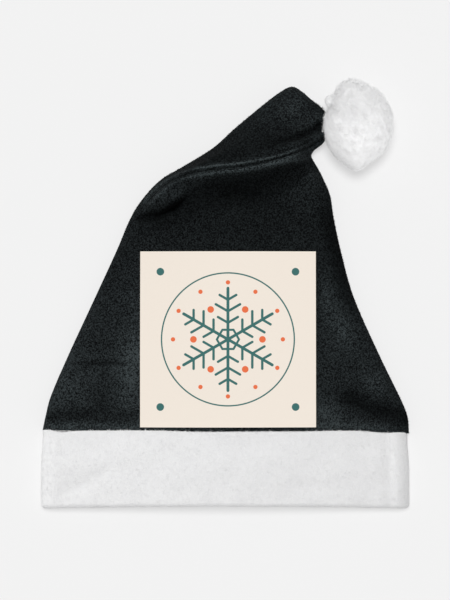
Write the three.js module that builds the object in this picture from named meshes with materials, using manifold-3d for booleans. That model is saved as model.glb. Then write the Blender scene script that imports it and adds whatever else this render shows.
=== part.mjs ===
// A Santa hat laid flat with its shown side up. Two fleece panels, a front and a back one, are sewn into a
// hollow cone whose tip rolls over to the right, so that the left side seam comes round onto the front. A
// folded plush cuff runs round the open mouth, a pom-pom sits on the tip, and a square film is printed on
// the front panel.
// Millimetres: +X is to the right of the shown side, +Y runs from the mouth to the tip, +Z is up, and the
// hat lies on Z = 0 with the middle of its outline at X = 0, Y = 0.
import * as THREE from "three";
import { mergeVertices } from "three/addons/utils/BufferGeometryUtils.js";
import Module from "manifold-3d";

const wasm = await Module();
wasm.setup();

// The whole hat
const HAT_WIDTH = 290;
const HAT_LENGTH = 338;
const GAP = 0.35;
const WELD = 1e-3;

// Cuff: a folded plush band round the mouth
const CUFF = { half: HAT_WIDTH / 2, edge: 10, run: 14, dome: 13 };
const CUFF_DEPTH = 60.5;
const CUFF_WALL = 7;
const CUFF_PINCH = { depth: 1.6, share: 0.6 };
const CUFF_POINTS = 26;
const CUFF_SIDE_STEPS = 3;
const CUFF_FOLD_STEPS = 4;

// Crown: the fleece cone
const FLEECE = 3;
const CROWN_BASE = -HAT_LENGTH / 2 + CUFF_DEPTH + GAP;
const CROWN_RUN = 12;
const CROWN_POINTS = 18;
const OUTER_RINGS = 36;
const INNER_RINGS = 18;
const RING_EASE = 0.35;
const BED_START = 0.6;
const RELIEF_GATE = 14;

// The share of a section's width values that each rounded edge takes
const EDGE_SHARE = 0.16;

// Each station is one straight line across the flat hat, from its left outline to its right one, with half
// the height of its rounded edge, the height of its dome and its lift off the surface.
const STATIONS = [
  { left: [-143.9, CROWN_BASE], right: [145, CROWN_BASE], edge: 7, dome: 13, lift: 2 },
  { left: [-141, -96], right: [143.2, -96], edge: 7, dome: 14, lift: 1 },
  { left: [-137.5, -81.6], right: [138.2, -82.9], edge: 7, dome: 15, lift: 0 },
  { left: [-123.2, -48.4], right: [121.2, -49], edge: 7, dome: 16, lift: 0 },
  { left: [-101.9, -1.1], right: [101.2, -2], edge: 7, dome: 15, lift: 0 },
  { left: [-85.3, 34.4], right: [90.9, 34.4], edge: 7, dome: 13, lift: 0 },
  { left: [-73.5, 61.2], right: [85.6, 60], edge: 7.5, dome: 11, lift: 0 },
  { left: [-64.4, 75.6], right: [82.9, 77], edge: 8, dome: 9, lift: 0 },
  { left: [-50.6, 89.9], right: [77.6, 90], edge: 8.5, dome: 8, lift: 0 },
  { left: [-34.6, 99.1], right: [73.6, 98], edge: 9, dome: 7, lift: 0 },
  { left: [-9.4, 114.4], right: [70, 104], edge: 9, dome: 7, lift: 0 },
  { left: [8.6, 130.6], right: [68.4, 107], edge: 9, dome: 7, lift: 0 },
  { left: [30.6, 149.3], right: [68, 109.3], edge: 9, dome: 6, lift: 1 },
  { left: [44, 159.2], right: [68.8, 111.2], edge: 9, dome: 6, lift: 2 },
  { left: [52.9, 163], right: [70.2, 112.8], edge: 9, dome: 5.5, lift: 3 },
  { left: [61.2, 159.2], right: [72, 114.2], edge: 9, dome: 5, lift: 4.5 },
  { left: [68.6, 152.8], right: [74.2, 115.8], edge: 9, dome: 4, lift: 6.5 },
  { left: [75.4, 147.2], right: [77, 118.2], edge: 8.5, dome: 3.5, lift: 9 },
  { left: [78.8, 141.4], right: [79.2, 122], edge: 8, dome: 3, lift: 12 },
];

// The left side seam runs just inside the outline from the mouth to the shoulder, and then crosses the front
// to the tip along the crest of the roll. The right side seam runs on the underside.
const SEAM = [
  [-71.2, 58], [-60.4, 74.4], [-51.4, 83.4], [-41, 90.4], [-27.7, 95.1],
  [-7, 98.4], [15.7, 100.9], [43.3, 107], [63, 114], [80, 127],
];
const SEAM_SAMPLES = 90;
const SEAM_INSET = 5.5;
const SEAM_JOIN = 50;
const RIGHT_SEAM_END = [[66, 101], [61, 110], [62.5, 122], [69, 132], [80, 136.5]];
const RIGHT_SEAM_JOIN = 92;
const SEAM_OVERRUN = 3;
const SEAM_REACH = 60;
// Along the seam, from 0 at the shoulder to 1 at the tip: how high the roll stands, how far it reaches below
// the seam and above it, and how steep its lower foot is, from 0 for a soft slope to 1 for a drop.
const ROLL = [
  { at: 0, height: 0, below: 10, above: 6, steep: 0 },
  { at: 0.11, height: 6, below: 15, above: 8, steep: 0.8 },
  { at: 0.22, height: 10, below: 21, above: 12, steep: 1 },
  { at: 0.33, height: 11, below: 21, above: 16, steep: 0.9 },
  { at: 0.44, height: 11, below: 20, above: 24, steep: 0.6 },
  { at: 0.56, height: 12, below: 24, above: 30, steep: 0.2 },
  { at: 0.67, height: 12, below: 26, above: 36, steep: 0.1 },
  { at: 0.78, height: 12, below: 24, above: 38, steep: 0.1 },
  { at: 0.89, height: 10, below: 14, above: 26, steep: 0.3 },
  { at: 1, height: 3, below: 8, above: 12, steep: 0.5 },
];

// Pom-pom: a lumpy ball, with its outline seen from above given as radii round its middle
const POM_CENTRE = [105.2, 133];
const POM_HEIGHT = 57;
const POM_OUTLINE = [
  { degrees: 0, radius: 28 },
  { degrees: 46, radius: 30 },
  { degrees: 74, radius: 31.8 },
  { degrees: 95, radius: 36.1 },
  { degrees: 119, radius: 36.3 },
  { degrees: 145, radius: 33.6 },
  { degrees: 180, radius: 26.5 },
  { degrees: 222, radius: 32 },
  { degrees: 247, radius: 33.2 },
  { degrees: 269, radius: 35.6 },
  { degrees: 292, radius: 30.6 },
  { degrees: 317, radius: 30.3 },
  { degrees: 360, radius: 28 },
];
const POM_RINGS = 18;
const POM_SIDES = 32;
const POM_LUMPS = { height: 0.9, round: 5, twist: 2.1, down: 4, shift: 1.3 };
const POM_FOOT = 0.8;
const POM_FULLNESS = 0.92;

// Print: a square film on the front, just above the cuff
const PRINT_SIZE = 138.6;
const PRINT_CENTRE = [2.2, -35.8];
const PRINT_FILM = 0.4;
const PRINT_STEPS = 12;
const SEARCH_STEPS = 24;

// Colours
const FLEECE_BLACK = 0x1f2324;
const PLUSH_WHITE = 0xefefee;
const PRINT_CREAM = 0xf0e6da;

// Ease from 0 to 1 between two limits.
function smooth(low, high, x) {
  const t = Math.min(Math.max((x - low) / (high - low), 0), 1);
  return t * t * (3 - 2 * t);
}

// A smooth curve through values at rising knots, as cubic pieces with matching slopes.
function through(knots, values, at) {
  const last = knots.length - 1;
  const x = Math.min(Math.max(at, knots[0]), knots[last]);
  let i = 0;
  while (i < last - 1 && x > knots[i + 1]) i += 1;
  const slope = (k) => {
    const a = Math.max(k - 1, 0);
    const b = Math.min(k + 1, last);
    return (values[b] - values[a]) / (knots[b] - knots[a]);
  };
  const span = knots[i + 1] - knots[i];
  const t = (x - knots[i]) / span;
  const rise = values[i + 1] - values[i];
  const bend = (slope(i) * span - rise) * (1 - t) + (rise - slope(i + 1) * span) * t;
  return values[i] + rise * t + t * (1 - t) * bend;
}

// Which side of the line from a to b a point is on: above 0 is its left.
function sideOf(a, b, x, y) {
  return (b.x - a.x) * (y - a.y) - (b.y - a.y) * (x - a.x);
}

// How far along the left outline each station lies, from 0 to 1.
const OUTLINE_WALK = [0];
for (let i = 1; i < STATIONS.length; i += 1) {
  const [a, b] = [STATIONS[i - 1].left, STATIONS[i].left];
  OUTLINE_WALK.push(OUTLINE_WALK[i - 1] + Math.hypot(b[0] - a[0], b[1] - a[1]));
}
const STATION_AT = OUTLINE_WALK.map((length) => length / OUTLINE_WALK.at(-1));

function station(at) {
  const value = (pick) => through(STATION_AT, STATIONS.map(pick), at);
  const left = new THREE.Vector2(value((s) => s.left[0]), value((s) => s.left[1]));
  const right = new THREE.Vector2(value((s) => s.right[0]), value((s) => s.right[1]));
  return {
    left,
    right,
    half: left.distanceTo(right) / 2,
    middle: left.clone().add(right).multiplyScalar(0.5),
    side: right.clone().sub(left).normalize(),
    edge: value((s) => s.edge),
    dome: value((s) => s.dome),
    lift: value((s) => s.lift),
    run: CROWN_RUN,
  };
}

const FIXED_STATIONS = STATION_AT.map(station);

const SEAM_KNOTS = SEAM.map((_, i) => i / (SEAM.length - 1));
const SEAM_LINE = Array.from({ length: SEAM_SAMPLES + 1 }, (_, i) => {
  const at = i / SEAM_SAMPLES;
  return new THREE.Vector2(
    through(SEAM_KNOTS, SEAM.map((p) => p[0]), at),
    through(SEAM_KNOTS, SEAM.map((p) => p[1]), at),
  );
});

// The height that the roll adds at a point seen from above.
function rollHeight(x, y) {
  let best = Infinity;
  let nearest = 0;
  SEAM_LINE.forEach((p, i) => {
    const far = (p.x - x) ** 2 + (p.y - y) ** 2;
    if (far < best) [best, nearest] = [far, i];
  });
  const before = SEAM_LINE[Math.max(nearest - 1, 0)];
  const after = SEAM_LINE[Math.min(nearest + 1, SEAM_SAMPLES)];
  const above = sideOf(before, after, x, y) > 0;
  const value = (pick) => through(ROLL.map((r) => r.at), ROLL.map(pick), nearest / SEAM_SAMPLES);
  const reach = Math.sqrt(best) / value(above ? (r) => r.above : (r) => r.below);
  if (reach >= 1) return 0;
  const soft = (1 + Math.cos(Math.PI * reach)) / 2;
  const drop = Math.sqrt(1 - reach ** 4);
  const steep = above ? 0 : value((r) => r.steep);
  return value((r) => r.height) * (soft + (drop - soft) * steep);
}

// A flat tube in section, with rounded edges, a flat underside and a domed top. across runs from 0 at its
// left outline to 1 at its right one. The result is measured from the section's middle line and lowest level.
function tubePoint({ half, edge, run, dome }, across, top, inset) {
  const inner = half - inset;
  const width = Math.min(run - inset, inner);
  const near = Math.min(across, 1 - across);
  const angle = (Math.PI / 2) * Math.min(near / EDGE_SHARE, 1);
  const flat = Math.max((near - EDGE_SHARE) / (0.5 - EDGE_SHARE), 0);
  const fromEdge = width * (1 - Math.cos(angle)) + (inner - width) * flat;
  const u = 1 - fromEdge / inner;
  const round = (edge - inset) * Math.sin(angle);
  return {
    sideways: across < 0.5 ? -u * inner : u * inner,
    rise: top ? edge + round + dome * (1 - u * u) ** 1.5 : edge - round,
    fromEdge,
  };
}

// The value of across at a distance from the middle line of a section.
function acrossAt({ half, run }, sideways) {
  const width = Math.min(run, half);
  const fromEdge = Math.max(half - Math.abs(sideways), 0);
  const near =
    fromEdge < width
      ? (EDGE_SHARE * Math.acos(1 - fromEdge / width)) / (Math.PI / 2)
      : EDGE_SHARE + ((0.5 - EDGE_SHARE) * (fromEdge - width)) / (half - width);
  return sideways < 0 ? near : 1 - near;
}

// A point of the crown's skin. turn goes round the tube: 0 at the left outline, over the top to 1 at the
// right one, and back underneath to 2.
function crownPoint(s, turn, inset) {
  const round = turn % 2;
  const top = round < 1;
  const p = tubePoint(s, top ? round : 2 - round, top, inset);
  const spot = s.middle.clone().addScaledVector(s.side, p.sideways);
  const roll = top ? rollHeight(spot.x, spot.y) * smooth(0, RELIEF_GATE, p.fromEdge) : 0;
  return new THREE.Vector3(spot.x, spot.y, s.lift + p.rise + roll);
}

function asGeometry(points, faces) {
  const geometry = new THREE.BufferGeometry();
  const numbers = points.flatMap((p) => p.toArray());
  geometry.setAttribute("position", new THREE.Float32BufferAttribute(numbers, 3));
  geometry.setIndex(faces.flat());
  return geometry;
}

// Faces between each ring of a loft and the next. Rings hold equally many points.
function loftFaces(ringCount, size) {
  const faces = [];
  for (let r = 0; r + 1 < ringCount; r += 1)
    for (let i = 0; i < size; i += 1) {
      const [a, b] = [r * size + i, r * size + ((i + 1) % size)];
      faces.push([a, b, b + size], [a, b + size, a + size]);
    }
  return faces;
}

// A loft through rings that each lie in an upright plane, with both ends closed flat.
function closedLoft(rings) {
  const size = rings[0].length;
  const faces = loftFaces(rings.length, size);
  for (const end of [0, rings.length - 1]) {
    const ring = rings[end];
    const away = ring.reduce((best, p) => (p.distanceTo(ring[0]) > best.distanceTo(ring[0]) ? p : best));
    const along = away.clone().sub(ring[0]).setZ(0).normalize();
    const outline = ring.map((p) => new THREE.Vector2(p.clone().sub(ring[0]).dot(along), p.z));
    const turned = THREE.ShapeUtils.isClockWise(outline);
    const wound = turned ? outline.slice().reverse() : outline;
    for (const [a, b, c] of THREE.ShapeUtils.triangulateShape(wound, [])) {
      const [i, j, k] = turned ? [size - 1 - a, size - 1 - b, size - 1 - c] : [a, b, c];
      const face = [end * size + i, end * size + j, end * size + k];
      const inwards = turned === (end === 0);
      faces.push(inwards ? face : face.reverse());
    }
  }
  return asGeometry(rings.flat(), faces);
}

function crownRing(at, inset) {
  const s = station(at);
  return Array.from({ length: 2 * CROWN_POINTS }, (_, j) => crownPoint(s, j / CROWN_POINTS, inset));
}

// The crown's wall as one tube, open at the mouth and at the tip.
function crownTube() {
  const spread = (count, inset) =>
    Array.from({ length: count }, (_, i) => {
      const even = i / (count - 1);
      return crownRing(even + RING_EASE * even * (1 - even), inset);
    });
  const outer = spread(OUTER_RINGS, 0);
  const rings = [...outer, ...spread(INNER_RINGS, FLEECE).reverse(), outer[0]];
  return asGeometry(rings.flat(), loftFaces(rings.length, 2 * CROWN_POINTS));
}

// The crown's upper part as a full solid that stands out by the gap, to cut its bed into the pom-pom.
function crownBed() {
  const rings = Array.from({ length: OUTER_RINGS }, (_, i) =>
    crownRing(BED_START + ((1 - BED_START) * i) / (OUTER_RINGS - 1), -GAP),
  );
  rings.push(rings.at(-1).map((p) => p.clone().add(new THREE.Vector3(GAP, 0, 0))));
  return closedLoft(rings);
}

// The middle level of the crown's hollow at a point seen from above.
function middleLevel(p) {
  const off = (s) => {
    const along = THREE.MathUtils.clamp(p.clone().sub(s.middle).dot(s.side), -s.half, s.half);
    return s.middle.clone().addScaledVector(s.side, along).distanceTo(p);
  };
  const nearest = FIXED_STATIONS.reduce((best, s) => (off(s) < off(best) ? s : best));
  return nearest.edge + nearest.lift;
}

// A thin upright ribbon along a line seen from above, through the wall above the crown's hollow or below it.
function seamRibbon(line, above) {
  const rings = line.map((p, i) => {
    const [before, after] = [line[Math.max(i - 1, 0)], line[Math.min(i + 1, line.length - 1)]];
    const ahead = after.clone().sub(before).normalize();
    const across = new THREE.Vector2(-ahead.y, ahead.x).multiplyScalar(GAP / 2);
    const [a, b] = [p.clone().sub(across), p.clone().add(across)];
    const middle = middleLevel(p);
    const [low, high] = above ? [middle, middle + SEAM_REACH] : [middle - SEAM_REACH, middle];
    return [
      new THREE.Vector3(a.x, a.y, low),
      new THREE.Vector3(b.x, b.y, low),
      new THREE.Vector3(b.x, b.y, high),
      new THREE.Vector3(a.x, a.y, high),
    ];
  });
  return closedLoft(rings);
}

// The cuff's wall in section: down its outer face, round the fold and up its inner face. inset is measured
// from the outer face, and the wall is pinched where it meets the crown.
function cuffSection() {
  const fold = -HAT_LENGTH / 2;
  const seam = fold + CUFF_DEPTH;
  const radius = CUFF_WALL / 2;
  const section = [];
  for (let i = 0; i <= CUFF_SIDE_STEPS; i += 1) {
    const down = i / CUFF_SIDE_STEPS;
    const inset = CUFF_PINCH.depth * (1 - smooth(0, CUFF_PINCH.share, down));
    section.push({ y: seam + (fold + radius - seam) * down, inset });
  }
  for (let i = 1; i < 2 * CUFF_FOLD_STEPS; i += 1) {
    const angle = (Math.PI * i) / (2 * CUFF_FOLD_STEPS);
    section.push({ y: fold + radius * (1 - Math.sin(angle)), inset: radius * (1 - Math.cos(angle)) });
  }
  for (let i = 0; i <= CUFF_SIDE_STEPS; i += 1) {
    const up = i / CUFF_SIDE_STEPS;
    const inset = CUFF_WALL - CUFF_PINCH.depth * smooth(1 - CUFF_PINCH.share, 1, up);
    section.push({ y: fold + radius + (seam - fold - radius) * up, inset });
  }
  return section;
}

function cuffGeometry() {
  const rings = cuffSection().map(({ y, inset }) =>
    Array.from({ length: 2 * CUFF_POINTS }, (_, j) => {
      const turn = j / CUFF_POINTS;
      const top = turn < 1;
      const p = tubePoint(CUFF, top ? turn : 2 - turn, top, inset);
      return new THREE.Vector3(p.sideways, y, p.rise);
    }),
  );
  rings.push(rings[0]);
  rings.reverse();
  return asGeometry(rings.flat(), loftFaces(rings.length, 2 * CUFF_POINTS));
}

// The pom-pom from above follows its outline. From the side it is a lumpy oval with a small flat foot.
function pomGeometry() {
  const outlineRadius = (turn) =>
    through(
      POM_OUTLINE.map((p) => p.degrees),
      POM_OUTLINE.map((p) => p.radius),
      (turn * 180) / Math.PI,
    );
  const { round, twist, down, shift } = POM_LUMPS;
  const spot = (turn, tilt) => {
    const lump = Math.sin(round * turn + twist * tilt) * Math.sin(down * tilt + shift) * Math.cos(tilt);
    const flat = outlineRadius(turn) * Math.cos(tilt) ** POM_FULLNESS + POM_LUMPS.height * lump;
    const height = (POM_HEIGHT + 2 * POM_FOOT) * (0.5 + 0.5 * Math.sin(tilt)) - 2 * POM_FOOT;
    return new THREE.Vector3(
      POM_CENTRE[0] + flat * Math.cos(turn),
      POM_CENTRE[1] + flat * Math.sin(turn),
      Math.max(height, 0),
    );
  };
  const points = [];
  for (let r = 1; r < POM_RINGS; r += 1)
    for (let i = 0; i < POM_SIDES; i += 1)
      points.push(spot((2 * Math.PI * i) / POM_SIDES, Math.PI * (r / POM_RINGS - 0.5)));
  const faces = loftFaces(POM_RINGS - 1, POM_SIDES);
  const [low, high] = [points.length, points.length + 1];
  points.push(spot(0, -Math.PI / 2), spot(0, Math.PI / 2));
  const lastRing = (POM_RINGS - 2) * POM_SIDES;
  for (let i = 0; i < POM_SIDES; i += 1) {
    const next = (i + 1) % POM_SIDES;
    faces.push([low, next, i], [high, lastRing + i, lastRing + next]);
  }
  return asGeometry(points, faces);
}

// The height of the crown's top at a point seen from above, in its lower part.
function crownTop(x, y) {
  let [low, high] = [0, BED_START];
  for (let i = 0; i < SEARCH_STEPS; i += 1) {
    const middle = (low + high) / 2;
    const s = station(middle);
    if (sideOf(s.left, s.right, x, y) > 0) low = middle;
    else high = middle;
  }
  const s = station(low);
  const sideways = new THREE.Vector2(x, y).sub(s.middle).dot(s.side);
  return crownPoint(s, acrossAt(s, sideways), 0).z;
}

// The print's film keeps one thickness and follows the crown's top.
function printGeometry() {
  const count = PRINT_STEPS + 1;
  const place = (i, j, lift) => {
    const x = PRINT_CENTRE[0] + PRINT_SIZE * (i / PRINT_STEPS - 0.5);
    const y = PRINT_CENTRE[1] + PRINT_SIZE * (j / PRINT_STEPS - 0.5);
    return new THREE.Vector3(x, y, crownTop(x, y) + lift);
  };
  const points = [];
  for (const lift of [GAP, GAP + PRINT_FILM])
    for (let j = 0; j < count; j += 1) for (let i = 0; i < count; i += 1) points.push(place(i, j, lift));
  const under = (i, j) => j * count + i;
  const over = (i, j) => count * count + under(i, j);
  const faces = [];
  for (let j = 0; j < PRINT_STEPS; j += 1)
    for (let i = 0; i < PRINT_STEPS; i += 1) {
      faces.push([over(i, j), over(i + 1, j), over(i + 1, j + 1)]);
      faces.push([over(i, j), over(i + 1, j + 1), over(i, j + 1)]);
      faces.push([under(i, j), under(i + 1, j + 1), under(i + 1, j)]);
      faces.push([under(i, j), under(i, j + 1), under(i + 1, j + 1)]);
    }
  const rim = [];
  for (let i = 0; i < PRINT_STEPS; i += 1) rim.push([i, 0]);
  for (let j = 0; j < PRINT_STEPS; j += 1) rim.push([PRINT_STEPS, j]);
  for (let i = PRINT_STEPS; i > 0; i -= 1) rim.push([i, PRINT_STEPS]);
  for (let j = PRINT_STEPS; j > 0; j -= 1) rim.push([0, j]);
  rim.forEach(([i, j], k) => {
    const [m, n] = rim[(k + 1) % rim.length];
    faces.push([under(i, j), under(m, n), over(m, n)], [under(i, j), over(m, n), over(i, j)]);
  });
  return asGeometry(points, faces);
}

function asSolid(geometry) {
  const merged = mergeVertices(geometry, WELD);
  return new wasm.Manifold(
    new wasm.Mesh({
      numProp: 3,
      vertProperties: new Float32Array(merged.attributes.position.array),
      triVerts: new Uint32Array(merged.index.array),
    }),
  );
}

function fromSolid(solid) {
  const mesh = solid.getMesh();
  const geometry = new THREE.BufferGeometry();
  const numbers = new Float32Array(mesh.vertProperties);
  geometry.setAttribute("position", new THREE.BufferAttribute(numbers, 3));
  geometry.setIndex(new THREE.BufferAttribute(new Uint32Array(mesh.triVerts), 1));
  return geometry;
}

// The two sewn panels, cut apart along their side seams. The back one reaches over the top of the fold.
function crownPanels() {
  const side = (name, inset, limit) => {
    const line = FIXED_STATIONS.map((s) => s[name].clone().addScaledVector(s.side, inset));
    const start = line[0].clone().add(new THREE.Vector2(0, -SEAM_OVERRUN));
    return [start, ...line.filter((p) => p.y < limit)];
  };
  const rightEnd = RIGHT_SEAM_END.map(([x, y]) => new THREE.Vector2(x, y));
  const left = [...side("left", SEAM_INSET, SEAM_JOIN), ...SEAM_LINE];
  const right = [...side("right", -SEAM_INSET, RIGHT_SEAM_JOIN), ...rightEnd];
  const [front, back] = asSolid(crownTube())
    .subtract(asSolid(seamRibbon(left, true)))
    .subtract(asSolid(seamRibbon(right, false)))
    .decompose()
    .sort((p, q) => p.boundingBox().max[1] - q.boundingBox().max[1]);
  return { front, back };
}

function piece(name, geometry, color, roughness) {
  geometry.computeVertexNormals();
  const material = new THREE.MeshStandardMaterial({ color, roughness, metalness: 0 });
  const mesh = new THREE.Mesh(geometry, material);
  mesh.name = name;
  return mesh;
}

const panels = crownPanels();
const pom = asSolid(pomGeometry()).subtract(asSolid(crownBed()));

const hat = new THREE.Group();
hat.add(
  piece("crown_front", fromSolid(panels.front), FLEECE_BLACK, 0.95),
  piece("crown_back", fromSolid(panels.back), FLEECE_BLACK, 0.95),
  piece("cuff", cuffGeometry(), PLUSH_WHITE, 0.95),
  piece("pom_pom", fromSolid(pom), PLUSH_WHITE, 0.95),
  piece("print_panel", printGeometry(), PRINT_CREAM, 0.7),
);

export default hat;
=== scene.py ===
"""A Santa hat laid flat with its shown side up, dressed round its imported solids.

Two fleece panels are sewn into a hollow cone whose tip rolls over to the right, a folded plush cuff runs
round the mouth, a pom-pom sits on the tip and a square film is printed on the front. Shapes are worked out
in millimetres and turned into metres as each mesh is made: +X is to the right of the shown side, +Y runs
from the mouth to the tip and +Z is up.
"""

import logging
import math
from dataclasses import dataclass
from enum import Enum
from typing import Any, Callable

import bpy
import numpy as np
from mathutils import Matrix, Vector

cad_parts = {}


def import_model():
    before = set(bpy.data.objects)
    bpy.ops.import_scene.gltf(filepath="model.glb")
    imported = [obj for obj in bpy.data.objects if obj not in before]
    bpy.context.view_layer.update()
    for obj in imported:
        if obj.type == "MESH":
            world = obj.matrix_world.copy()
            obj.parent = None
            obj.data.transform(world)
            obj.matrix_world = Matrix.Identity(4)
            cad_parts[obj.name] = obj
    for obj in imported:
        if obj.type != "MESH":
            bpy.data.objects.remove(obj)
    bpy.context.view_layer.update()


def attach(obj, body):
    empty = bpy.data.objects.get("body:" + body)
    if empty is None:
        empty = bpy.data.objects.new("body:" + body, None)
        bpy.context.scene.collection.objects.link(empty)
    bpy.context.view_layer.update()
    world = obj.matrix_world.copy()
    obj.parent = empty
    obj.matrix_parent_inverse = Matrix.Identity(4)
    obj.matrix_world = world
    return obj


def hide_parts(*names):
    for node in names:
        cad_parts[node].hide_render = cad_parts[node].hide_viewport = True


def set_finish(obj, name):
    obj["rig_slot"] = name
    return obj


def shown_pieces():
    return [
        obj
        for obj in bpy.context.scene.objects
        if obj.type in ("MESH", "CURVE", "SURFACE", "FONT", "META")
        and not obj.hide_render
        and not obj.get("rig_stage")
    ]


LOG = logging.getLogger("santa_hat")
MM = 0.001
BODY = "root"
HAT_WIDTH, HAT_LENGTH = 290.0, 338.0
GAP = 0.35
EDGE_SHARE = 0.16
PRINT_MIDDLE, PRINT_HALF = (2.2, -35.8), 69.3
END_DIP, END_DIP_FROM, END_DIP_TO = 2.5, 98.0, 142.0
Array = np.ndarray


class Node(Enum):
    """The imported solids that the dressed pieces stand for."""

    FRONT = "crown_front"
    BACK = "crown_back"
    CUFF = "cuff"
    POM = "pom_pom"
    PRINT = "print_panel"


class Slot(Enum):
    """The material slots of the record."""

    FLEECE = "black_fleece"
    PLUSH = "white_plush"
    PILE = "white_pile"
    FILM = "print_film"


def smooth(low: float, high: float, x: Array) -> Array:
    """Eases from 0 to 1 between two limits."""
    t = np.clip((x - low) / (high - low), 0, 1)
    return t * t * (3 - 2 * t)


def bell(x: Array, width: float) -> Array:
    """A bell curve of height 1 round x = 0."""
    return np.exp(-((x / width) ** 2))


def mouth_dip(across: Array) -> Array:
    """How far the right end of the seam at the mouth dips, at places across the hat."""
    return END_DIP * smooth(END_DIP_FROM, END_DIP_TO, across)


def through(knots: Array, values: Array, at: Array) -> Array:
    """Reads a smooth curve through values at rising knots, made of cubic pieces with matching slopes.

    Args:
        knots: Where the values hold, rising.
        values: One number or one row of numbers for each knot.
        at: Where to read the curve.

    Returns:
        The values at those places.
    """
    knots, values = np.asarray(knots, float), np.asarray(values, float)
    last = len(knots) - 1
    x = np.clip(at, knots[0], knots[-1])
    i = np.searchsorted(knots[1:-1], x, side="left")
    before, after = np.maximum(np.arange(last + 1) - 1, 0), np.minimum(np.arange(last + 1) + 1, last)
    wide = values.ndim > 1
    run = knots[after] - knots[before]
    slopes = (values[after] - values[before]) / (run[:, None] if wide else run)
    span = knots[i + 1] - knots[i]
    t = (x - knots[i]) / span
    if wide:
        span, t = span[..., None], t[..., None]
    rise = values[i + 1] - values[i]
    bend = (slopes[i] * span - rise) * (1 - t) + (rise - slopes[i + 1] * span) * t
    return values[i] + rise * t + t * (1 - t) * bend


@dataclass(frozen=True)
class PlanLine:
    """A line seen from above, held as close samples.

    Attributes:
        spots: The samples, one row each, in millimetres.
    """

    spots: Array

    @classmethod
    def curve(cls, points: list, samples: int) -> "PlanLine":
        """Makes the smooth line through a few points, evenly in the points' order."""
        knots = np.linspace(0, 1, len(points))
        return cls(through(knots, np.array(points, float), np.linspace(0, 1, samples)))

    @classmethod
    def chain(cls, points: Array, step: float = 0.6) -> "PlanLine":
        """Makes the straight-sided line through points.

        Args:
            points: The points, one row each.
            step: How far apart its samples are.

        Returns:
            The line.
        """
        points = np.asarray(points, float)
        walk = np.concatenate([[0], np.cumsum(np.linalg.norm(np.diff(points, axis=0), axis=1))])
        at = np.arange(0, walk[-1], step)
        return cls(np.stack([np.interp(at, walk, points[:, k]) for k in (0, 1)], 1))

    def locate(self, spots: Array) -> tuple[Array, Array]:
        """Measures points against the line.

        Args:
            spots: Points seen from above, one row each.

        Returns:
            Each point's distance from the line, above 0 on its left, and its share of the way along it.
        """
        ahead = np.gradient(self.spots, axis=0)
        steps = np.linalg.norm(ahead, axis=1)
        ahead = ahead / steps[:, None]
        far, along = np.empty(len(spots)), np.empty(len(spots))
        last, stride = len(self.spots) - 1, 10
        for low in range(0, len(spots), 20000):
            part = spots[low : low + 20000]
            coarse = ((part[:, None, :] - self.spots[None, ::stride]) ** 2).sum(2).argmin(1) * stride
            window = np.clip(coarse[:, None] + np.arange(-stride, stride + 1), 0, last)
            pick = ((part[:, None, :] - self.spots[window]) ** 2).sum(2).argmin(1)
            near = window[np.arange(len(part)), pick]
            away = part - self.spots[near]
            forward = (away * ahead[near]).sum(1)
            across = ahead[near, 0] * away[:, 1] - ahead[near, 1] * away[:, 0]
            held = np.clip(forward, -steps[near] / 2, steps[near] / 2)
            side = np.where(across < 0, -1.0, 1.0)
            far[low : low + 20000] = side * np.hypot(across, forward - held)
            along[low : low + 20000] = (near + held / steps[near]) / (len(self.spots) - 1)
        return far, along


@dataclass(frozen=True)
class Station:
    """One straight line across the flat crown, in millimetres.

    Attributes:
        left: Its left end.
        right: Its right end.
        edge: Half the height of the tube's rounded edges here.
        dome: How much higher the top's middle is.
        lift: How high the underside lies.
    """

    left: tuple[float, float]
    right: tuple[float, float]
    edge: float
    dome: float
    lift: float


@dataclass(frozen=True)
class RollStep:
    """How the roll stands at one place along its seam, in millimetres.

    Attributes:
        at: The share of the way along the seam.
        height: How high the roll is.
        below: How far it reaches below the seam.
        above: How far it reaches above the seam.
        steep: How steeply it falls off below, from 0 for an even slope to 1 for an overhanging fold's look.
    """

    at: float
    height: float
    below: float
    above: float
    steep: float


@dataclass(frozen=True)
class Crease:
    """A fold line in the cloth, seen from above, in millimetres.

    Attributes:
        points: The line.
        depth: How far it sinks, or stands out where it is below 0.
        width: How wide it is.
        fade: The shares of its length over which it starts and ends.
        tone: How much paler its colour is painted, a painted highlight, or darker below 0, a painted shade.
    """

    points: tuple
    depth: float
    width: float
    fade: tuple[float, float] = (0.25, 0.25)
    tone: float = 0.0

    def shape(self, spots: Array) -> Array:
        """How much of the crease there is.

        Args:
            spots: Points seen from above, one row each.

        Returns:
            One share from 0 to 1 for each point.
        """
        far, along = PlanLine.curve(list(self.points), 80).locate(spots)
        ends = smooth(0, self.fade[0], along) * (1 - smooth(1 - self.fade[1], 1, along))
        return bell(far, self.width) * ends

    def rise(self, spots: Array) -> Array:
        """The height that the crease adds at points seen from above."""
        return -self.depth * self.shape(spots)


@dataclass(frozen=True)
class Swell:
    """A soft rise of the cloth where it doesn't lie quite flat, in millimetres and degrees.

    Attributes:
        middle: Its middle seen from above.
        size: Half its length and half its width.
        turn: How far its length is turned to the left of the x axis.
        height: How high it is.
        tone: How much paler its colour is painted, a painted highlight, or darker below 0, a painted shade.
    """

    middle: tuple[float, float]
    size: tuple[float, float]
    turn: float
    height: float
    tone: float = 0.0

    def shape(self, spots: Array) -> Array:
        """How much of the swell there is.

        Args:
            spots: Points seen from above, one row each.

        Returns:
            One share from 0 to 1 for each point.
        """
        away = spots - np.array(self.middle)
        c, s = math.cos(math.radians(self.turn)), math.sin(math.radians(self.turn))
        long, wide = away[:, 0] * c + away[:, 1] * s, away[:, 1] * c - away[:, 0] * s
        return bell(long, self.size[0]) * bell(wide, self.size[1])

    def rise(self, spots: Array) -> Array:
        """The height that the swell adds at points seen from above."""
        return self.height * self.shape(spots)


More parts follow.
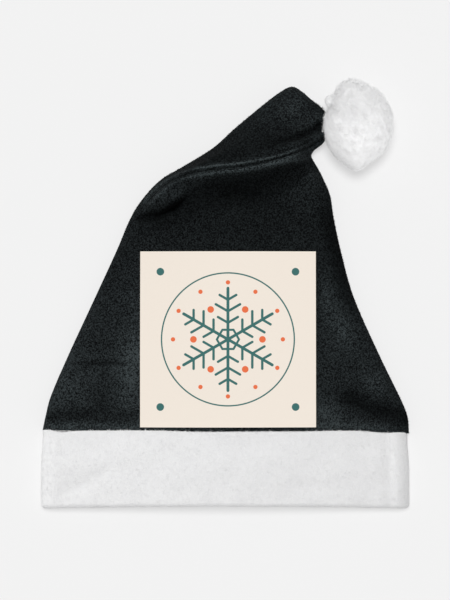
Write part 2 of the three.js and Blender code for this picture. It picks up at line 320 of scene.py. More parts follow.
def tube_point(
    half: Array, edge: Array, run: float, dome: Array, across: Array, top: Array, inset: float
) -> tuple[Array, Array, Array]:
    """Reads the section of a flat tube with rounded edges, a flat underside and a domed top.

    Args:
        half: Half the section's width.
        edge: Half the height of its rounded edges.
        run: How far in each rounded edge reaches.
        dome: The height of its dome.
        across: From 0 at the left outline to 1 at the right one.
        top: Whether the point is on the upper side.
        inset: How far inside the skin the point lies.

    Returns:
        The distance from the section's middle, the height over its lowest level and the way in from the edge.
    """
    inner = half - inset
    width = np.minimum(run - inset, inner)
    near = np.minimum(across, 1 - across)
    angle = (math.pi / 2) * np.minimum(near / EDGE_SHARE, 1)
    flat = np.maximum((near - EDGE_SHARE) / (0.5 - EDGE_SHARE), 0)
    from_edge = width * (1 - np.cos(angle)) + (inner - width) * flat
    u = 1 - from_edge / inner
    round_part = (edge - inset) * np.sin(angle)
    rise = np.where(top, edge + round_part + dome * np.maximum(1 - u * u, 0) ** 1.5, edge - round_part)
    return np.where(across < 0.5, -u * inner, u * inner), rise, from_edge


class Skin:
    """A net of triangles on a tube. Each corner is held by its place along the tube and round it."""

    def __init__(self, at: Array, turn: Array, faces: Array) -> None:
        """Keeps the corners' places and the triangles."""
        self.at, self.turn, self.faces = at, turn, faces

    @classmethod
    def grid(cls, at: Array, around: int) -> "Skin":
        """Makes an even net, closed round the tube.

        Args:
            at: The places of its rings along the tube.
            around: How many corners a ring has.

        Returns:
            The net.
        """
        rings = len(at)
        ring, side = np.meshgrid(np.arange(rings - 1), np.arange(around), indexing="ij")
        a = (ring * around + side).ravel()
        b = (ring * around + (side + 1) % around).ravel()
        faces = np.concatenate([np.stack([a, b, b + around], 1), np.stack([a, b + around, a + around], 1)])
        return cls(np.repeat(at, around), np.tile(np.arange(around) * 2 / around, rings), faces)

    def between(self, a: Array, b: Array, share: Array) -> tuple[Array, Array]:
        """The places a share of the way from corners a to corners b, the short way round."""
        step = (self.turn[b] - self.turn[a] + 1) % 2 - 1
        return self.at[a] + (self.at[b] - self.at[a]) * share, (self.turn[a] + step * share) % 2

    def edges(self) -> tuple[Array, Array]:
        """Numbers the net's edges.

        Returns:
            Every edge once, as a row of two corners, and for each triangle the numbers of its edges.
        """
        ends = np.sort(np.stack([self.faces, np.roll(self.faces, -1, 1)], 2).reshape(-1, 2), 1)
        keys = ends[:, 0].astype(np.int64) * len(self.at) + ends[:, 1]
        found, inverse = np.unique(keys, return_inverse=True)
        return np.stack([found // len(self.at), found % len(self.at)], 1), inverse.reshape(-1, 3)

    def refined(self, place: Callable, target: Callable, passes: int) -> "Skin":
        """Splits edges that are longer than they may be where they lie.

        Args:
            place: Gives the points of places along and round the tube.
            target: Gives the longest edge allowed at points.
            passes: How many times to split.

        Returns:
            The finer net.
        """
        skin = self
        for _ in range(passes):
            points = place(skin.at, skin.turn)
            ends, of_face = skin.edges()
            a, b = ends[:, 0], ends[:, 1]
            long = np.linalg.norm(points[a] - points[b], axis=1) > target((points[a] + points[b]) / 2)
            if not long.any():
                break
            number = np.where(long, len(skin.at) + np.cumsum(long) - 1, -1)
            at, turn = skin.between(a[long], b[long], np.full(int(long.sum()), 0.5))
            faces = split_faces(skin.faces, number[of_face])
            skin = Skin(np.concatenate([skin.at, at]), np.concatenate([skin.turn, turn]), faces)
        return skin

    def kept(self, level: Array) -> "Skin":
        """Cuts the net where the level is 0 and keeps the part above it.

        Args:
            level: One number for each corner.

        Returns:
            The kept part, with new corners along the cut.
        """
        above = level > 0
        count = above[self.faces].sum(1)
        whole = self.faces[count == 3]
        mixed = self.faces[(count == 1) | (count == 2)]
        signs = above[mixed]
        lone_side = signs.sum(1) == 1
        lone = np.where(lone_side, signs.argmax(1), (~signs).argmax(1))
        row = np.arange(len(mixed))
        v0, v1, v2 = mixed[row, lone], mixed[row, (lone + 1) % 3], mixed[row, (lone + 2) % 3]
        pairs = np.concatenate([np.stack([v0, v1], 1), np.stack([v0, v2], 1)])
        keys = pairs.min(1).astype(np.int64) * len(self.at) + pairs.max(1)
        found, inverse = np.unique(keys, return_inverse=True)
        a, b = found // len(self.at), found % len(self.at)
        at, turn = self.between(a, b, level[a] / (level[a] - level[b]))
        new = len(self.at) + inverse
        i01, i02 = new[: len(mixed)], new[len(mixed) :]
        faces = np.concatenate(
            [
                whole,
                np.stack([v0, i01, i02], 1)[lone_side],
                np.stack([i01, v1, v2], 1)[~lone_side],
                np.stack([i01, v2, i02], 1)[~lone_side],
            ]
        )
        used, faces = np.unique(faces, return_inverse=True)
        at, turn = np.concatenate([self.at, at]), np.concatenate([self.turn, turn])
        return Skin(at[used], turn[used], faces.reshape(-1, 3))

    def rim(self) -> Array:
        """Finds the edges that only one triangle has.

        Returns:
            One row of two corners for each, in that triangle's direction.
        """
        directed = np.stack([self.faces, np.roll(self.faces, -1, 1)], 2).reshape(-1, 2)
        keys = directed.min(1).astype(np.int64) * len(self.at) + directed.max(1)
        _, inverse, counts = np.unique(keys, return_inverse=True, return_counts=True)
        return directed[counts[inverse] == 1]


def split_faces(faces: Array, middles: Array) -> Array:
    """Splits triangles at the new corners on their edges.

    Args:
        faces: The triangles.
        middles: For each triangle the new corner on each of its edges, or -1.

    Returns:
        The smaller triangles.
    """
    count = (middles >= 0).sum(1)
    parts = [faces[count == 0]]
    one = np.flatnonzero(count == 1)
    k = (middles[one] >= 0).argmax(1)
    a, b, c = (faces[one, (k + j) % 3] for j in range(3))
    m = middles[one, k]
    parts += [np.stack([a, m, c], 1), np.stack([m, b, c], 1)]
    two = np.flatnonzero(count == 2)
    k = ((middles[two] < 0).argmax(1) + 1) % 3
    a, b, c = (faces[two, (k + j) % 3] for j in range(3))
    m, n = middles[two, k], middles[two, (k + 1) % 3]
    parts += [np.stack([m, b, n], 1), np.stack([a, m, n], 1), np.stack([a, n, c], 1)]
    three = np.flatnonzero(count == 3)
    a, b, c = faces[three].T
    m, n, o = middles[three].T
    parts += [np.stack([a, m, o], 1), np.stack([m, b, n], 1), np.stack([o, n, c], 1), np.stack([m, n, o], 1)]
    return np.concatenate(parts)


def ball_turns(rings: int, sides: int) -> tuple[Array, Array]:
    """The places of a ball's corners between its poles, ring by ring from the lowest.

    Args:
        rings: How many bands the ball has between its poles.
        sides: How many corners a ring has.

    Returns:
        Each corner's tilt above the ball's middle and its turn round the upright axis, in radians.
    """
    tilt = np.pi * (np.arange(1, rings) / rings - 0.5)
    turn = np.arange(sides) * 2 * np.pi / sides
    tilt, turn = np.meshgrid(tilt, turn, indexing="ij")
    return tilt.ravel(), turn.ravel()


def ball_faces(rings: int, sides: int) -> Array:
    """The triangles of a ball whose corners are those of ball_turns, then the low pole and the high pole.

    Args:
        rings: How many bands the ball has between its poles.
        sides: How many corners a ring has.

    Returns:
        One row of corner numbers for each triangle.
    """
    side = np.arange(sides)
    after = (side + 1) % sides
    last = (rings - 2) * sides
    low = np.full(sides, last + sides)
    caps = [np.stack([low, after, side], 1), np.stack([low + 1, last + side, last + after], 1)]
    return np.concatenate([Skin.grid(np.linspace(0, 1, rings - 1), sides).faces, *caps])


def make_piece(name: str, points: Array, faces: Array, material: bpy.types.Material | None) -> bpy.types.Object:
    """Makes a mesh object at the origin.

    Args:
        name: The object's name.
        points: Its corners in millimetres.
        faces: Its faces as rows of corner numbers.
        material: Its finish.

    Returns:
        The object, shaded smooth.
    """
    mesh = bpy.data.meshes.new(name)
    faces = np.asarray(faces, np.int32)
    mesh.vertices.add(len(points))
    mesh.vertices.foreach_set("co", (np.asarray(points, np.float64) * MM).astype(np.float32).ravel())
    mesh.loops.add(faces.size)
    mesh.loops.foreach_set("vertex_index", faces.ravel())
    mesh.polygons.add(len(faces))
    mesh.polygons.foreach_set("loop_start", np.arange(len(faces), dtype=np.int32) * faces.shape[1])
    mesh.update(calc_edges=True)
    mesh.validate()
    mesh.shade_smooth()
    if material is not None:
        mesh.materials.append(material)
    piece = bpy.data.objects.new(name, mesh)
    bpy.context.scene.collection.objects.link(piece)
    return piece


def set_field(piece: bpy.types.Object, name: str, values: Array) -> None:
    """Stores one number for each corner of a piece under a name."""
    piece.data.attributes.new(name, "FLOAT", "POINT").data.foreach_set("value", values.astype(np.float32))


def vertex_normals(points: Array, faces: Array) -> Array:
    """The normals of a net of triangles, weighted by the triangles' areas.

    Args:
        points: The net's corners.
        faces: Its triangles.

    Returns:
        One row for each corner.
    """
    flat = np.cross(points[faces[:, 1]] - points[faces[:, 0]], points[faces[:, 2]] - points[faces[:, 0]])
    total = np.zeros_like(points)
    for k in range(3):
        np.add.at(total, faces[:, k], flat)
    return total / np.maximum(np.linalg.norm(total, axis=1), 1e-12)[:, None]


def ripple(spots: Array, size: float, seed: int) -> Array:
    """A gentle random wave, made of a few crossed waves.

    Args:
        spots: Where, in two or three dimensions.
        size: About how long the waves are.
        seed: The seed of their ways and lengths.

    Returns:
        The wave's height at each point, about 1 at most.
    """
    rng = np.random.default_rng(seed)
    total = np.zeros(len(spots))
    for _ in range(7):
        way, length = rng.uniform(0, 2 * math.pi), size * rng.uniform(0.7, 1.6)
        phase = rng.uniform(0, 2 * math.pi)
        forward = spots @ np.concatenate([[math.cos(way), math.sin(way)], np.zeros(spots.shape[1] - 2)])
        rise = spots[:, 2] * rng.uniform(-1, 1) if spots.shape[1] > 2 else 0
        total += np.sin(2 * math.pi * (forward + rise) / length + phase)
    return total / 3


class Signal:
    """A number that varies over a surface, as a node's output. Sums with it add Math nodes."""

    def __init__(self, bench: "Bench", socket: bpy.types.NodeSocket) -> None:
        """Wraps an output socket."""
        self.bench, self.socket = bench, socket

    def math(self, operation: str, *values: Any) -> "Signal":
        """Adds one Math node over the given values."""
        made = self.bench.node("ShaderNodeMath", {"operation": operation}, dict(enumerate(values)))
        return Signal(self.bench, made.outputs[0])

    def __add__(self, other: Any) -> "Signal":
        """Adds another value."""
        return self.math("ADD", self, other)

    __radd__ = __add__

    def __sub__(self, other: Any) -> "Signal":
        """Takes another value away."""
        return self.math("SUBTRACT", self, other)

    def __rsub__(self, other: Any) -> "Signal":
        """Is taken from another value."""
        return self.math("SUBTRACT", other, self)

    def __mul__(self, other: Any) -> "Signal":
        """Multiplies by another value."""
        return self.math("MULTIPLY", self, other)

    __rmul__ = __mul__

    def __truediv__(self, other: Any) -> "Signal":
        """Divides by another value."""
        return self.math("DIVIDE", self, other)

    def __rtruediv__(self, other: Any) -> "Signal":
        """Divides another value."""
        return self.math("DIVIDE", other, self)

    def __abs__(self) -> "Signal":
        """Drops the sign."""
        return self.math("ABSOLUTE", self)

    def least(self, other: Any) -> "Signal":
        """The smaller of this and another value."""
        return self.math("MINIMUM", self, other)

    def most(self, other: Any) -> "Signal":
        """The larger of this and another value."""
        return self.math("MAXIMUM", self, other)

    def eased(self, low: float, high: float, start: float = 0.0, end: float = 1.0) -> "Signal":
        """Eases from start to end as this goes from low to high.

        Args:
            low: Where the easing starts.
            high: Where it ends.
            start: The value up to there.
            end: The value from there on.

        Returns:
            The eased value.
        """
        sockets = {0: self, 1: low, 2: high, 3: start, 4: end}
        made = self.bench.node("ShaderNodeMapRange", {"interpolation_type": "SMOOTHSTEP"}, sockets)
        return Signal(self.bench, made.outputs[0])


class Bench:
    """Adds nodes to one node tree."""

    def __init__(self, tree: bpy.types.NodeTree) -> None:
        """Starts with an empty tree."""
        self.tree = tree
        tree.nodes.clear()

    def node(self, kind: str, settings: dict | None = None, sockets: dict | None = None) -> bpy.types.Node:
        """Adds one node.

        Args:
            kind: The node's type.
            settings: Its settings by name, which are set first.
            sockets: Its inputs by name or number, each a value, a Signal or an output socket.

        Returns:
            The node.
        """
        made = self.tree.nodes.new(kind)
        for name, value in (settings or {}).items():
            setattr(made, name, value)
        for key, value in (sockets or {}).items():
            if isinstance(value, Signal):
                value = value.socket
            if isinstance(value, bpy.types.NodeSocket):
                self.tree.links.new(value, made.inputs[key])
            else:
                made.inputs[key].default_value = value
        return made

    def signal(self, kind: str, settings: dict | None = None, sockets: dict | None = None, out: Any = 0) -> Signal:
        """Adds one node and wraps one of its outputs."""
        return Signal(self, self.node(kind, settings, sockets).outputs[out])

    def noise(self, where: Any, size: float, detail: float = 2.0, rough: float = 0.5, seed: float = 0.0) -> Signal:
        """Adds a noise.

        Args:
            where: The coordinates' socket.
            size: About how large its lumps are, in millimetres.
            detail: How many finer layers it has.
            rough: How strong they are.
            seed: Its place in the fourth dimension, which sets it apart from others.

        Returns:
            The noise, from 0 to 1.
        """
        settings = {"noise_dimensions": "4D"}
        sockets = {"Vector": where, "W": seed, "Scale": 1 / (size * MM), "Detail": detail, "Roughness": rough}
        return self.signal("ShaderNodeTexNoise", settings, sockets)

    def mix(self, share: Any, first: Any, second: Any) -> bpy.types.NodeSocket:
        """Mixes two colours and gives the output socket."""
        settings = {"data_type": "RGBA", "clamp_factor": True}
        return self.node("ShaderNodeMix", settings, {0: share, 6: first, 7: second}).outputs[2]


def rgba(red: float, green: float, blue: float) -> tuple[float, float, float, float]:
    """A linear colour from the usual 0 to 255 screen values."""
    shown = (v / 255 for v in (red, green, blue))
    return (*(v / 12.92 if v <= 0.04045 else ((v + 0.055) / 1.055) ** 2.4 for v in shown), 1.0)


@dataclass(frozen=True)
class Cloth:
    """What the cloth finishes share: a Principled shader with its constants set on its own sockets.

    Attributes:
        name: The material's name.
        sheen: The weight of its sheen.
        sheen_roughness: How wide the sheen spreads.
        gloss: How strongly its fibres shine.
    """

    name: str
    sheen: float = 0.1
    sheen_roughness: float = 0.5
    gloss: float = 0.1

    def start(self) -> tuple[bpy.types.Material, Bench, Any]:
        """Starts the material.

        Returns:
            The material, its bench and the Object coordinates' socket.
        """
        material = bpy.data.materials.new(self.name)
        material.use_nodes = True
        bench = Bench(material.node_tree)
        return material, bench, bench.node("ShaderNodeTexCoord").outputs["Object"]

    def close(self, bench: Bench, colour: Any, roughness: Any, normal: Any = None) -> bpy.types.Node:
        """Adds the shader and the output.

        Args:
            bench: The material's bench.
            colour: The base colour, as a value or a socket.
            roughness: The roughness, as a value or a Signal.
            normal: The bumped normal's socket.

        Returns:
            The shader.
        """
        sockets = {
            "Base Color": colour,
            "Roughness": roughness,
            "Specular IOR Level": self.gloss,
            "Sheen Weight": self.sheen,
            "Sheen Roughness": self.sheen_roughness,
        }
        if normal is not None:
            sockets["Normal"] = normal
        shader = bench.node("ShaderNodeBsdfPrincipled", {}, sockets)
        bench.node("ShaderNodeOutputMaterial", {}, {"Surface": shader.outputs[0]})
        return shader


@dataclass(frozen=True)
class FleeceFinish(Cloth):
    """Black fleece with a short pebbled nap, whose colour carries painted highlights on its raised places and painted
    shade in its folds, and is paler in patches round the print.

    Attributes:
        deep: The dark end of the colour mix, towards which painted shade and dark mottle go.
        pale: The pale end of the colour mix, towards which painted highlights and pale mottle go.
        pebble: The size of the nap's pebbles, in millimetres.
        relief: How strongly they stand out.
    """

    deep: tuple = (0.0003, 0.00035, 0.0004, 1.0)
    pale: tuple = (0.041, 0.0505, 0.053, 1.0)
    pebble: float = 1.3
    relief: float = 0.6

    def make(self) -> bpy.types.Material:
        """Builds the panels' material.

        Returns:
            The material.
        """
        material, bench, where = self.start()
        grain = bench.noise(where, self.pebble, 3, 0.65)
        fine = bench.noise(where, self.pebble * 0.45, 2, 0.6, 3.1)
        patch = bench.noise(where, 34, 2, 0.55, 7.7)
        cloud = bench.noise(where, 11, 2, 0.6, 1.3)
        split = bench.node("ShaderNodeSeparateXYZ", {}, {0: where})
        x, y, z = (Signal(bench, split.outputs[k]) for k in range(3))
        out_x = abs(x - PRINT_MIDDLE[0] * MM)
        out_y = abs(y - PRINT_MIDDLE[1] * MM)
        beyond = out_x.most(out_y) - PRINT_HALF * MM
        paler_round_print = beyond.eased(0.0, 0.02, 0.25, 0.0) * patch.eased(0.4, 0.62) * z.eased(0.012, 0.018)
        # The same noises raise the bump, so the raised pebbles are painted paler and the pits darker, a painted
        # highlight and shade over the random mottle.
        mottle = grain.eased(0.4, 0.6, 0.0, 1.65) + fine.eased(0.38, 0.62, -0.6, 0.9)
        mottle = (mottle + cloud.eased(0.3, 0.7, -0.1, 0.15)).most(0.05)
        # The piece's field adds painted light and shade; the patches round the print are paler.
        colour = bench.mix(self.rub(bench) * mottle * (1.0 + paler_round_print), self.deep, self.pale)
        sockets = {"Strength": self.relief, "Distance": 0.0007, "Height": grain * 0.8 + fine * 0.3}
        bump = bench.node("ShaderNodeBump", {}, sockets)
        self.close(bench, colour, grain.eased(0.2, 0.8, 1.0, 0.86), bump.outputs[0])
        return material

    def make_nap(self) -> bpy.types.Material:
        """Builds the loose fibres' material.

        Returns:
            The material.
        """
        material, bench, where = self.start()
        lump = bench.noise(where, self.pebble, 2, 0.6)
        # The fibres take the same painted light and shade from the panel's field, over random lumps.
        colour = bench.mix(self.rub(bench) * lump.eased(0.38, 0.62, 0.4, 1.9), self.deep, self.pale)
        self.close(bench, colour, lump.eased(0.2, 0.8, 0.95, 0.85))
        return material

    @staticmethod
    def rub(bench: Bench) -> Signal:
        """Reads how pale the nap is rubbed from the piece's own field."""
        return bench.signal("ShaderNodeAttribute", {"attribute_name": "rub"}, out="Fac")


@dataclass(frozen=True)
class PlushFinish(Cloth):
    """White plush: short dense pile whose soft hollows are painted darker and slightly cooler, a painted shade.

    Attributes:
        hollow: The colour painted into the pile's hollows, a painted shade.
        tip: The colour of the pile's tips, painted on its raised lumps.
        lump: The size of the pile's lumps, in millimetres.
        relief: How strongly they stand out.
    """

    hollow: tuple = (0.8, 0.8, 0.81, 1.0)
    tip: tuple = (0.87, 0.87, 0.87, 1.0)
    lump: float = 4.0
    relief: float = 0.2

    def make(self) -> bpy.types.Material:
        """Builds the material.

        Returns:
            The material.
        """
        material, bench, where = self.start()
        lumps = bench.noise(where, self.lump, 3, 0.6)
        fine = bench.noise(where, self.lump * 0.25, 2, 0.6, 4.2)
        patch = bench.noise(where, 30, 1, 0.5, 2.9)
        # The lumps that raise the bump also pale the colour, so the bump's hollows carry painted shade; the large
        # patches vary at random.
        share = lumps.eased(0.3, 0.6) * 0.35 + fine.eased(0.25, 0.7) * 0.25 + patch * 0.4
        colour = bench.mix(share, self.hollow, self.tip)
        sockets = {"Strength": self.relief, "Distance": 0.0008, "Height": lumps + fine * 0.4}
        bump = bench.node("ShaderNodeBump", {}, sockets)
        self.close(bench, colour, fine.eased(0.2, 0.8, 1.0, 0.9), bump.outputs[0])
        return material


@dataclass(frozen=True)
class FibreFinish(Cloth):
    """Single fibres of one colour that varies a little from lump to lump.

    Attributes:
        deep: The darker lumps' colour.
        light: The lighter lumps' colour.
        size: The lumps' size, in millimetres.
    """

    deep: tuple = (0.86, 0.86, 0.865, 1.0)
    light: tuple = (0.92, 0.92, 0.92, 1.0)
    size: float = 3.0

    def make(self) -> bpy.types.Material:
        """Builds the material.

        Returns:
            The material.
        """
        material, bench, where = self.start()
        lump = bench.noise(where, self.size, 2, 0.6)
        self.close(bench, bench.mix(lump.eased(0.3, 0.7), self.deep, self.light), lump.eased(0.2, 0.8, 0.95, 0.85))
        return material


@dataclass(frozen=True)
class FilmFinish(Cloth):
    """The print's film: cream, with a six-armed snowflake, dots between its arms and a thin ring.

    Attributes:
        cream: The ground's colour.
        teal: The snowflake's and the ring's colour.
        orange: The dots' colour.
        arm: The length of the snowflake's arms, in millimetres as all that follows.
        arm_width: The arms' width.
        twigs: Where the arms' side twigs start, and how long they are.
        ring: The ring's radius.
        ring_width: Its line's width.
        twig_share: The twigs' width as a share of the arms'.
        heart: How far out the six-sided line round the middle runs, and half its width.
        inner_dot: How far out the dots between the arms lie, and their radius.
        outer_dot: The same for the outer dots between them.
        tip_dot: How far past the arms' ends their dots lie, and their radius.
        corner_dot: How far the corners' dots lie from the middle lines, and their radius.
        soft: Half the width of an edge's blur.
    """

    cream: tuple = rgba(240, 230, 218)
    teal: tuple = rgba(63, 111, 108)
    orange: tuple = rgba(232, 115, 74)
    arm: float = 40.0
    arm_width: float = 2.3
    twigs: tuple = ((13.0, 9.0), (22.0, 11.0), (31.0, 7.5))
    ring: float = 52.0
    ring_width: float = 1.1
    twig_share: float = 0.84
    heart: tuple[float, float] = (7.5, 0.85)
    inner_dot: tuple[float, float] = (27.0, 2.6)
    outer_dot: tuple[float, float] = (43.0, 1.7)
    tip_dot: tuple[float, float] = (4.6, 1.7)
    corner_dot: tuple[float, float] = (53.0, 3.0)
    soft: float = 0.12

    def make(self) -> bpy.types.Material:
        """Builds the material.

        Returns:
            The material.
        """
        material, bench, where = self.start()
        split = bench.node("ShaderNodeSeparateXYZ", {}, {0: where})
        x = Signal(bench, split.outputs[0]) / MM - PRINT_MIDDLE[0]
        y = Signal(bench, split.outputs[1]) / MM - PRINT_MIDDLE[1]
        out = x.math("SQRT", x * x + y * y)
        angle = x.math("ARCTAN2", x, y)
        sector = math.pi / 3
        folded = abs(angle.math("WRAP", angle, sector / 2, -sector / 2))
        along, aside = out * folded.math("COSINE", folded), out * folded.math("SINE", folded)
        soft = self.soft
        flake = self._bar(along, aside, 0.0, 0.0, self.arm, self.arm_width / 2, soft)
        for start, length in self.twigs:
            half = self.arm_width * self.twig_share / 2
            flake = flake.most(self._bar(along, aside, start, sector, length, half, soft))
        inward, half = self.heart
        flake = flake.most(abs(along - inward).eased(half - soft, half + soft, 1.0, 0.0))
        hoop = abs(out - self.ring).eased(self.ring_width / 2 - soft, self.ring_width / 2 + soft, 1.0, 0.0)
        turned = abs(angle.math("WRAP", angle + sector / 2, sector / 2, -sector / 2))
        dot_x, dot_y = out * turned.math("COSINE", turned), out * turned.math("SINE", turned)
        inner, outer = (self._dot(dot_x - place, dot_y, size, soft) for place, size in (self.inner_dot, self.outer_dot))
        dots = inner.most(outer).most(self._dot(along - self.arm - self.tip_dot[0], aside, self.tip_dot[1], soft))
        place, size = self.corner_dot
        corner = self._dot(abs(x) - place, abs(y) - place, size, soft)
        colour = bench.mix(flake.most(hoop).most(corner), self.cream, self.teal)
        colour = bench.mix(dots, colour, self.orange)
        weave = bench.noise(where, 1.6, 2, 0.6)
        bump = bench.node("ShaderNodeBump", {}, {"Strength": 0.12, "Distance": 0.0004, "Height": weave})
        self.close(bench, colour, weave.eased(0.3, 0.7, 0.82, 0.74), bump.outputs[0])
        return material

    @staticmethod
    def _dot(x: Signal, y: Signal, radius: float, soft: float) -> Signal:
        """A round dot's mask."""
        return x.math("SQRT", x * x + y * y).eased(radius - soft, radius + soft, 1.0, 0.0)

    @staticmethod
    def _bar(x: Signal, y: Signal, start: float, way: float, length: float, half: float, soft: float) -> Signal:
        """The mask of a bar with round ends that starts on the arm and leaves it at an angle.

        Args:
            x: The place along the arm, in millimetres.
            y: The place beside it.
            start: Where on the arm the bar starts.
            way: The angle between them, in radians.
            length: The bar's length.
            half: Half its width.
            soft: Half the width of its edge's blur.

        Returns:
            1 on the bar and 0 off it.
        """
        c, s = math.cos(way), math.sin(way)
        held = ((x - start) * c + y * s).most(0.0).least(length)
        off_x, off_y = x - start - held * c, y - held * s
        return x.math("SQRT", off_x * off_x + off_y * off_y).eased(half - soft, half + soft, 1.0, 0.0)


@dataclass(frozen=True)
class Tuft:
    """A few fibres that leave one point together, in millimetres and degrees.

    Attributes:
        fibres: How many fibres.
        length: The longest fibre.
        width: A fibre's width at its root.
        lean: How far the fibres lean over at their roots, least and most.
        curl: How much further each fibre bends by its end.
        rows: How many straight parts a fibre has.
        foot: How far apart the roots are.
        taper: How much narrower a fibre is at its end, as a share of its width.
        shortest: The shortest fibre, as a share of the longest.
    """

    fibres: int
    length: float
    width: float
    lean: tuple[float, float]
    curl: float
    rows: int = 2
    foot: float = 0.5
    taper: float = 0.55
    shortest: float = 0.6

    def make(self, name: str, seed: int) -> bpy.types.Object:
        """Makes the tuft as a mesh that stands on the origin.

        Args:
            name: The object's name.
            seed: The seed of the fibres' ways.

        Returns:
            The tuft's object.
        """
        rng = np.random.default_rng(seed)
        points, faces = [], []
        for _ in range(self.fibres):
            turn = rng.uniform(0, 2 * math.pi)
            lean = math.radians(rng.uniform(*self.lean))
            length = self.length * rng.uniform(self.shortest, 1.0)
            out, aside = np.array([math.cos(turn), math.sin(turn), 0]), np.array([-math.sin(turn), math.cos(turn), 0])
            spot = rng.uniform(-self.foot, self.foot, 3) * (1, 1, 0)
            twist = rng.uniform(-0.5, 0.5)
            for row in range(self.rows):
                half = self.width / 2 * (1 - self.taper * row / self.rows)
                points += [spot - aside * half, spot + aside * half]
                step = length / self.rows
                spot = spot + (out * math.sin(lean) + aside * twist * 0.4 + np.array([0, 0, math.cos(lean)])) * step
                lean += math.radians(self.curl) / self.rows
            points.append(spot)
            first = len(points) - 2 * self.rows - 1
            for row in range(self.rows - 1):
                a = first + 2 * row
                faces += [(a, a + 1, a + 3), (a, a + 3, a + 2)]
            a = first + 2 * (self.rows - 1)
            faces.append((a, a + 1, a + 2))
        return make_piece(name, np.array(points), faces, None)


@dataclass(frozen=True)
class PileTree:
    """Geometry nodes that set tufts over a surface at random."""

    name: str

    def make(self) -> tuple[bpy.types.NodeTree, dict[str, str]]:
        """Builds the tree.

        Returns:
            The tree, and its inputs' identifiers by name.
        """
        tree = bpy.data.node_groups.new(self.name, "GeometryNodeTree")
        bench = Bench(tree)
        inputs = (
            ("Surface", "NodeSocketGeometry"),
            ("Tuft", "NodeSocketObject"),
            ("Density", "NodeSocketFloat"),
            ("Least Scale", "NodeSocketFloat"),
            ("Most Scale", "NodeSocketFloat"),
            ("Lean", "NodeSocketFloat"),
            ("Seed", "NodeSocketInt"),
            ("Finish", "NodeSocketMaterial"),
        )
        for label, kind in inputs:
            tree.interface.new_socket(label, in_out="INPUT", socket_type=kind)
        tree.interface.new_socket("Tufts", in_out="OUTPUT", socket_type="NodeSocketGeometry")
        given = bench.node("NodeGroupInput").outputs
        crowd = bench.node("GeometryNodeInputNamedAttribute", {"data_type": "FLOAT"}, {"Name": "crowd"})
        reach = bench.node("GeometryNodeInputNamedAttribute", {"data_type": "FLOAT"}, {"Name": "reach"})
        density = bench.node("ShaderNodeMath", {"operation": "MULTIPLY"}, {0: given["Density"], 1: crowd.outputs[0]})
        spread = bench.node(
            "GeometryNodeDistributePointsOnFaces",
            {},
            {"Mesh": given["Surface"], "Density": density.outputs[0], "Seed": given["Seed"]},
        )
        minus = bench.node("ShaderNodeMath", {"operation": "MULTIPLY"}, {0: given["Lean"], 1: -1.0})
        low = bench.node("ShaderNodeCombineXYZ", {}, {0: minus.outputs[0], 1: minus.outputs[0], 2: 0.0})
        high = bench.node("ShaderNodeCombineXYZ", {}, {0: given["Lean"], 1: given["Lean"], 2: 2 * math.pi})
        turn = bench.node(
            "FunctionNodeRandomValue",
            {"data_type": "FLOAT_VECTOR"},
            {0: low.outputs[0], 1: high.outputs[0], "Seed": given["Seed"]},
        )
        spin = bench.node("FunctionNodeEulerToRotation", {}, {0: turn.outputs[0]})
        turned = bench.node(
            "FunctionNodeRotateRotation",
            {"rotation_space": "LOCAL"},
            {0: spread.outputs["Rotation"], 1: spin.outputs[0]},
        )
        size = bench.node(
            "FunctionNodeRandomValue",
            {"data_type": "FLOAT"},
            {2: given["Least Scale"], 3: given["Most Scale"], "Seed": given["Seed"]},
        )
        scale = bench.node("ShaderNodeMath", {"operation": "MULTIPLY"}, {0: size.outputs[1], 1: reach.outputs[0]})
        source = bench.node("GeometryNodeObjectInfo", {}, {0: given["Tuft"]})
        placed = bench.node(
            "GeometryNodeInstanceOnPoints",
            {},
            {
                "Points": spread.outputs["Points"],
                "Instance": source.outputs["Geometry"],
                "Rotation": turned.outputs[0],
                "Scale": scale.outputs[0],
            },
        )
        real = bench.node("GeometryNodeRealizeInstances", {}, {0: placed.outputs[0]})
        finished = bench.node("GeometryNodeSetMaterial", {}, {0: real.outputs[0], "Material": given["Finish"]})
        bench.node("NodeGroupOutput", {}, {0: finished.outputs[0]})
        names = {item.name: item.identifier for item in tree.interface.items_tree if item.in_out == "INPUT"}
        return tree, names


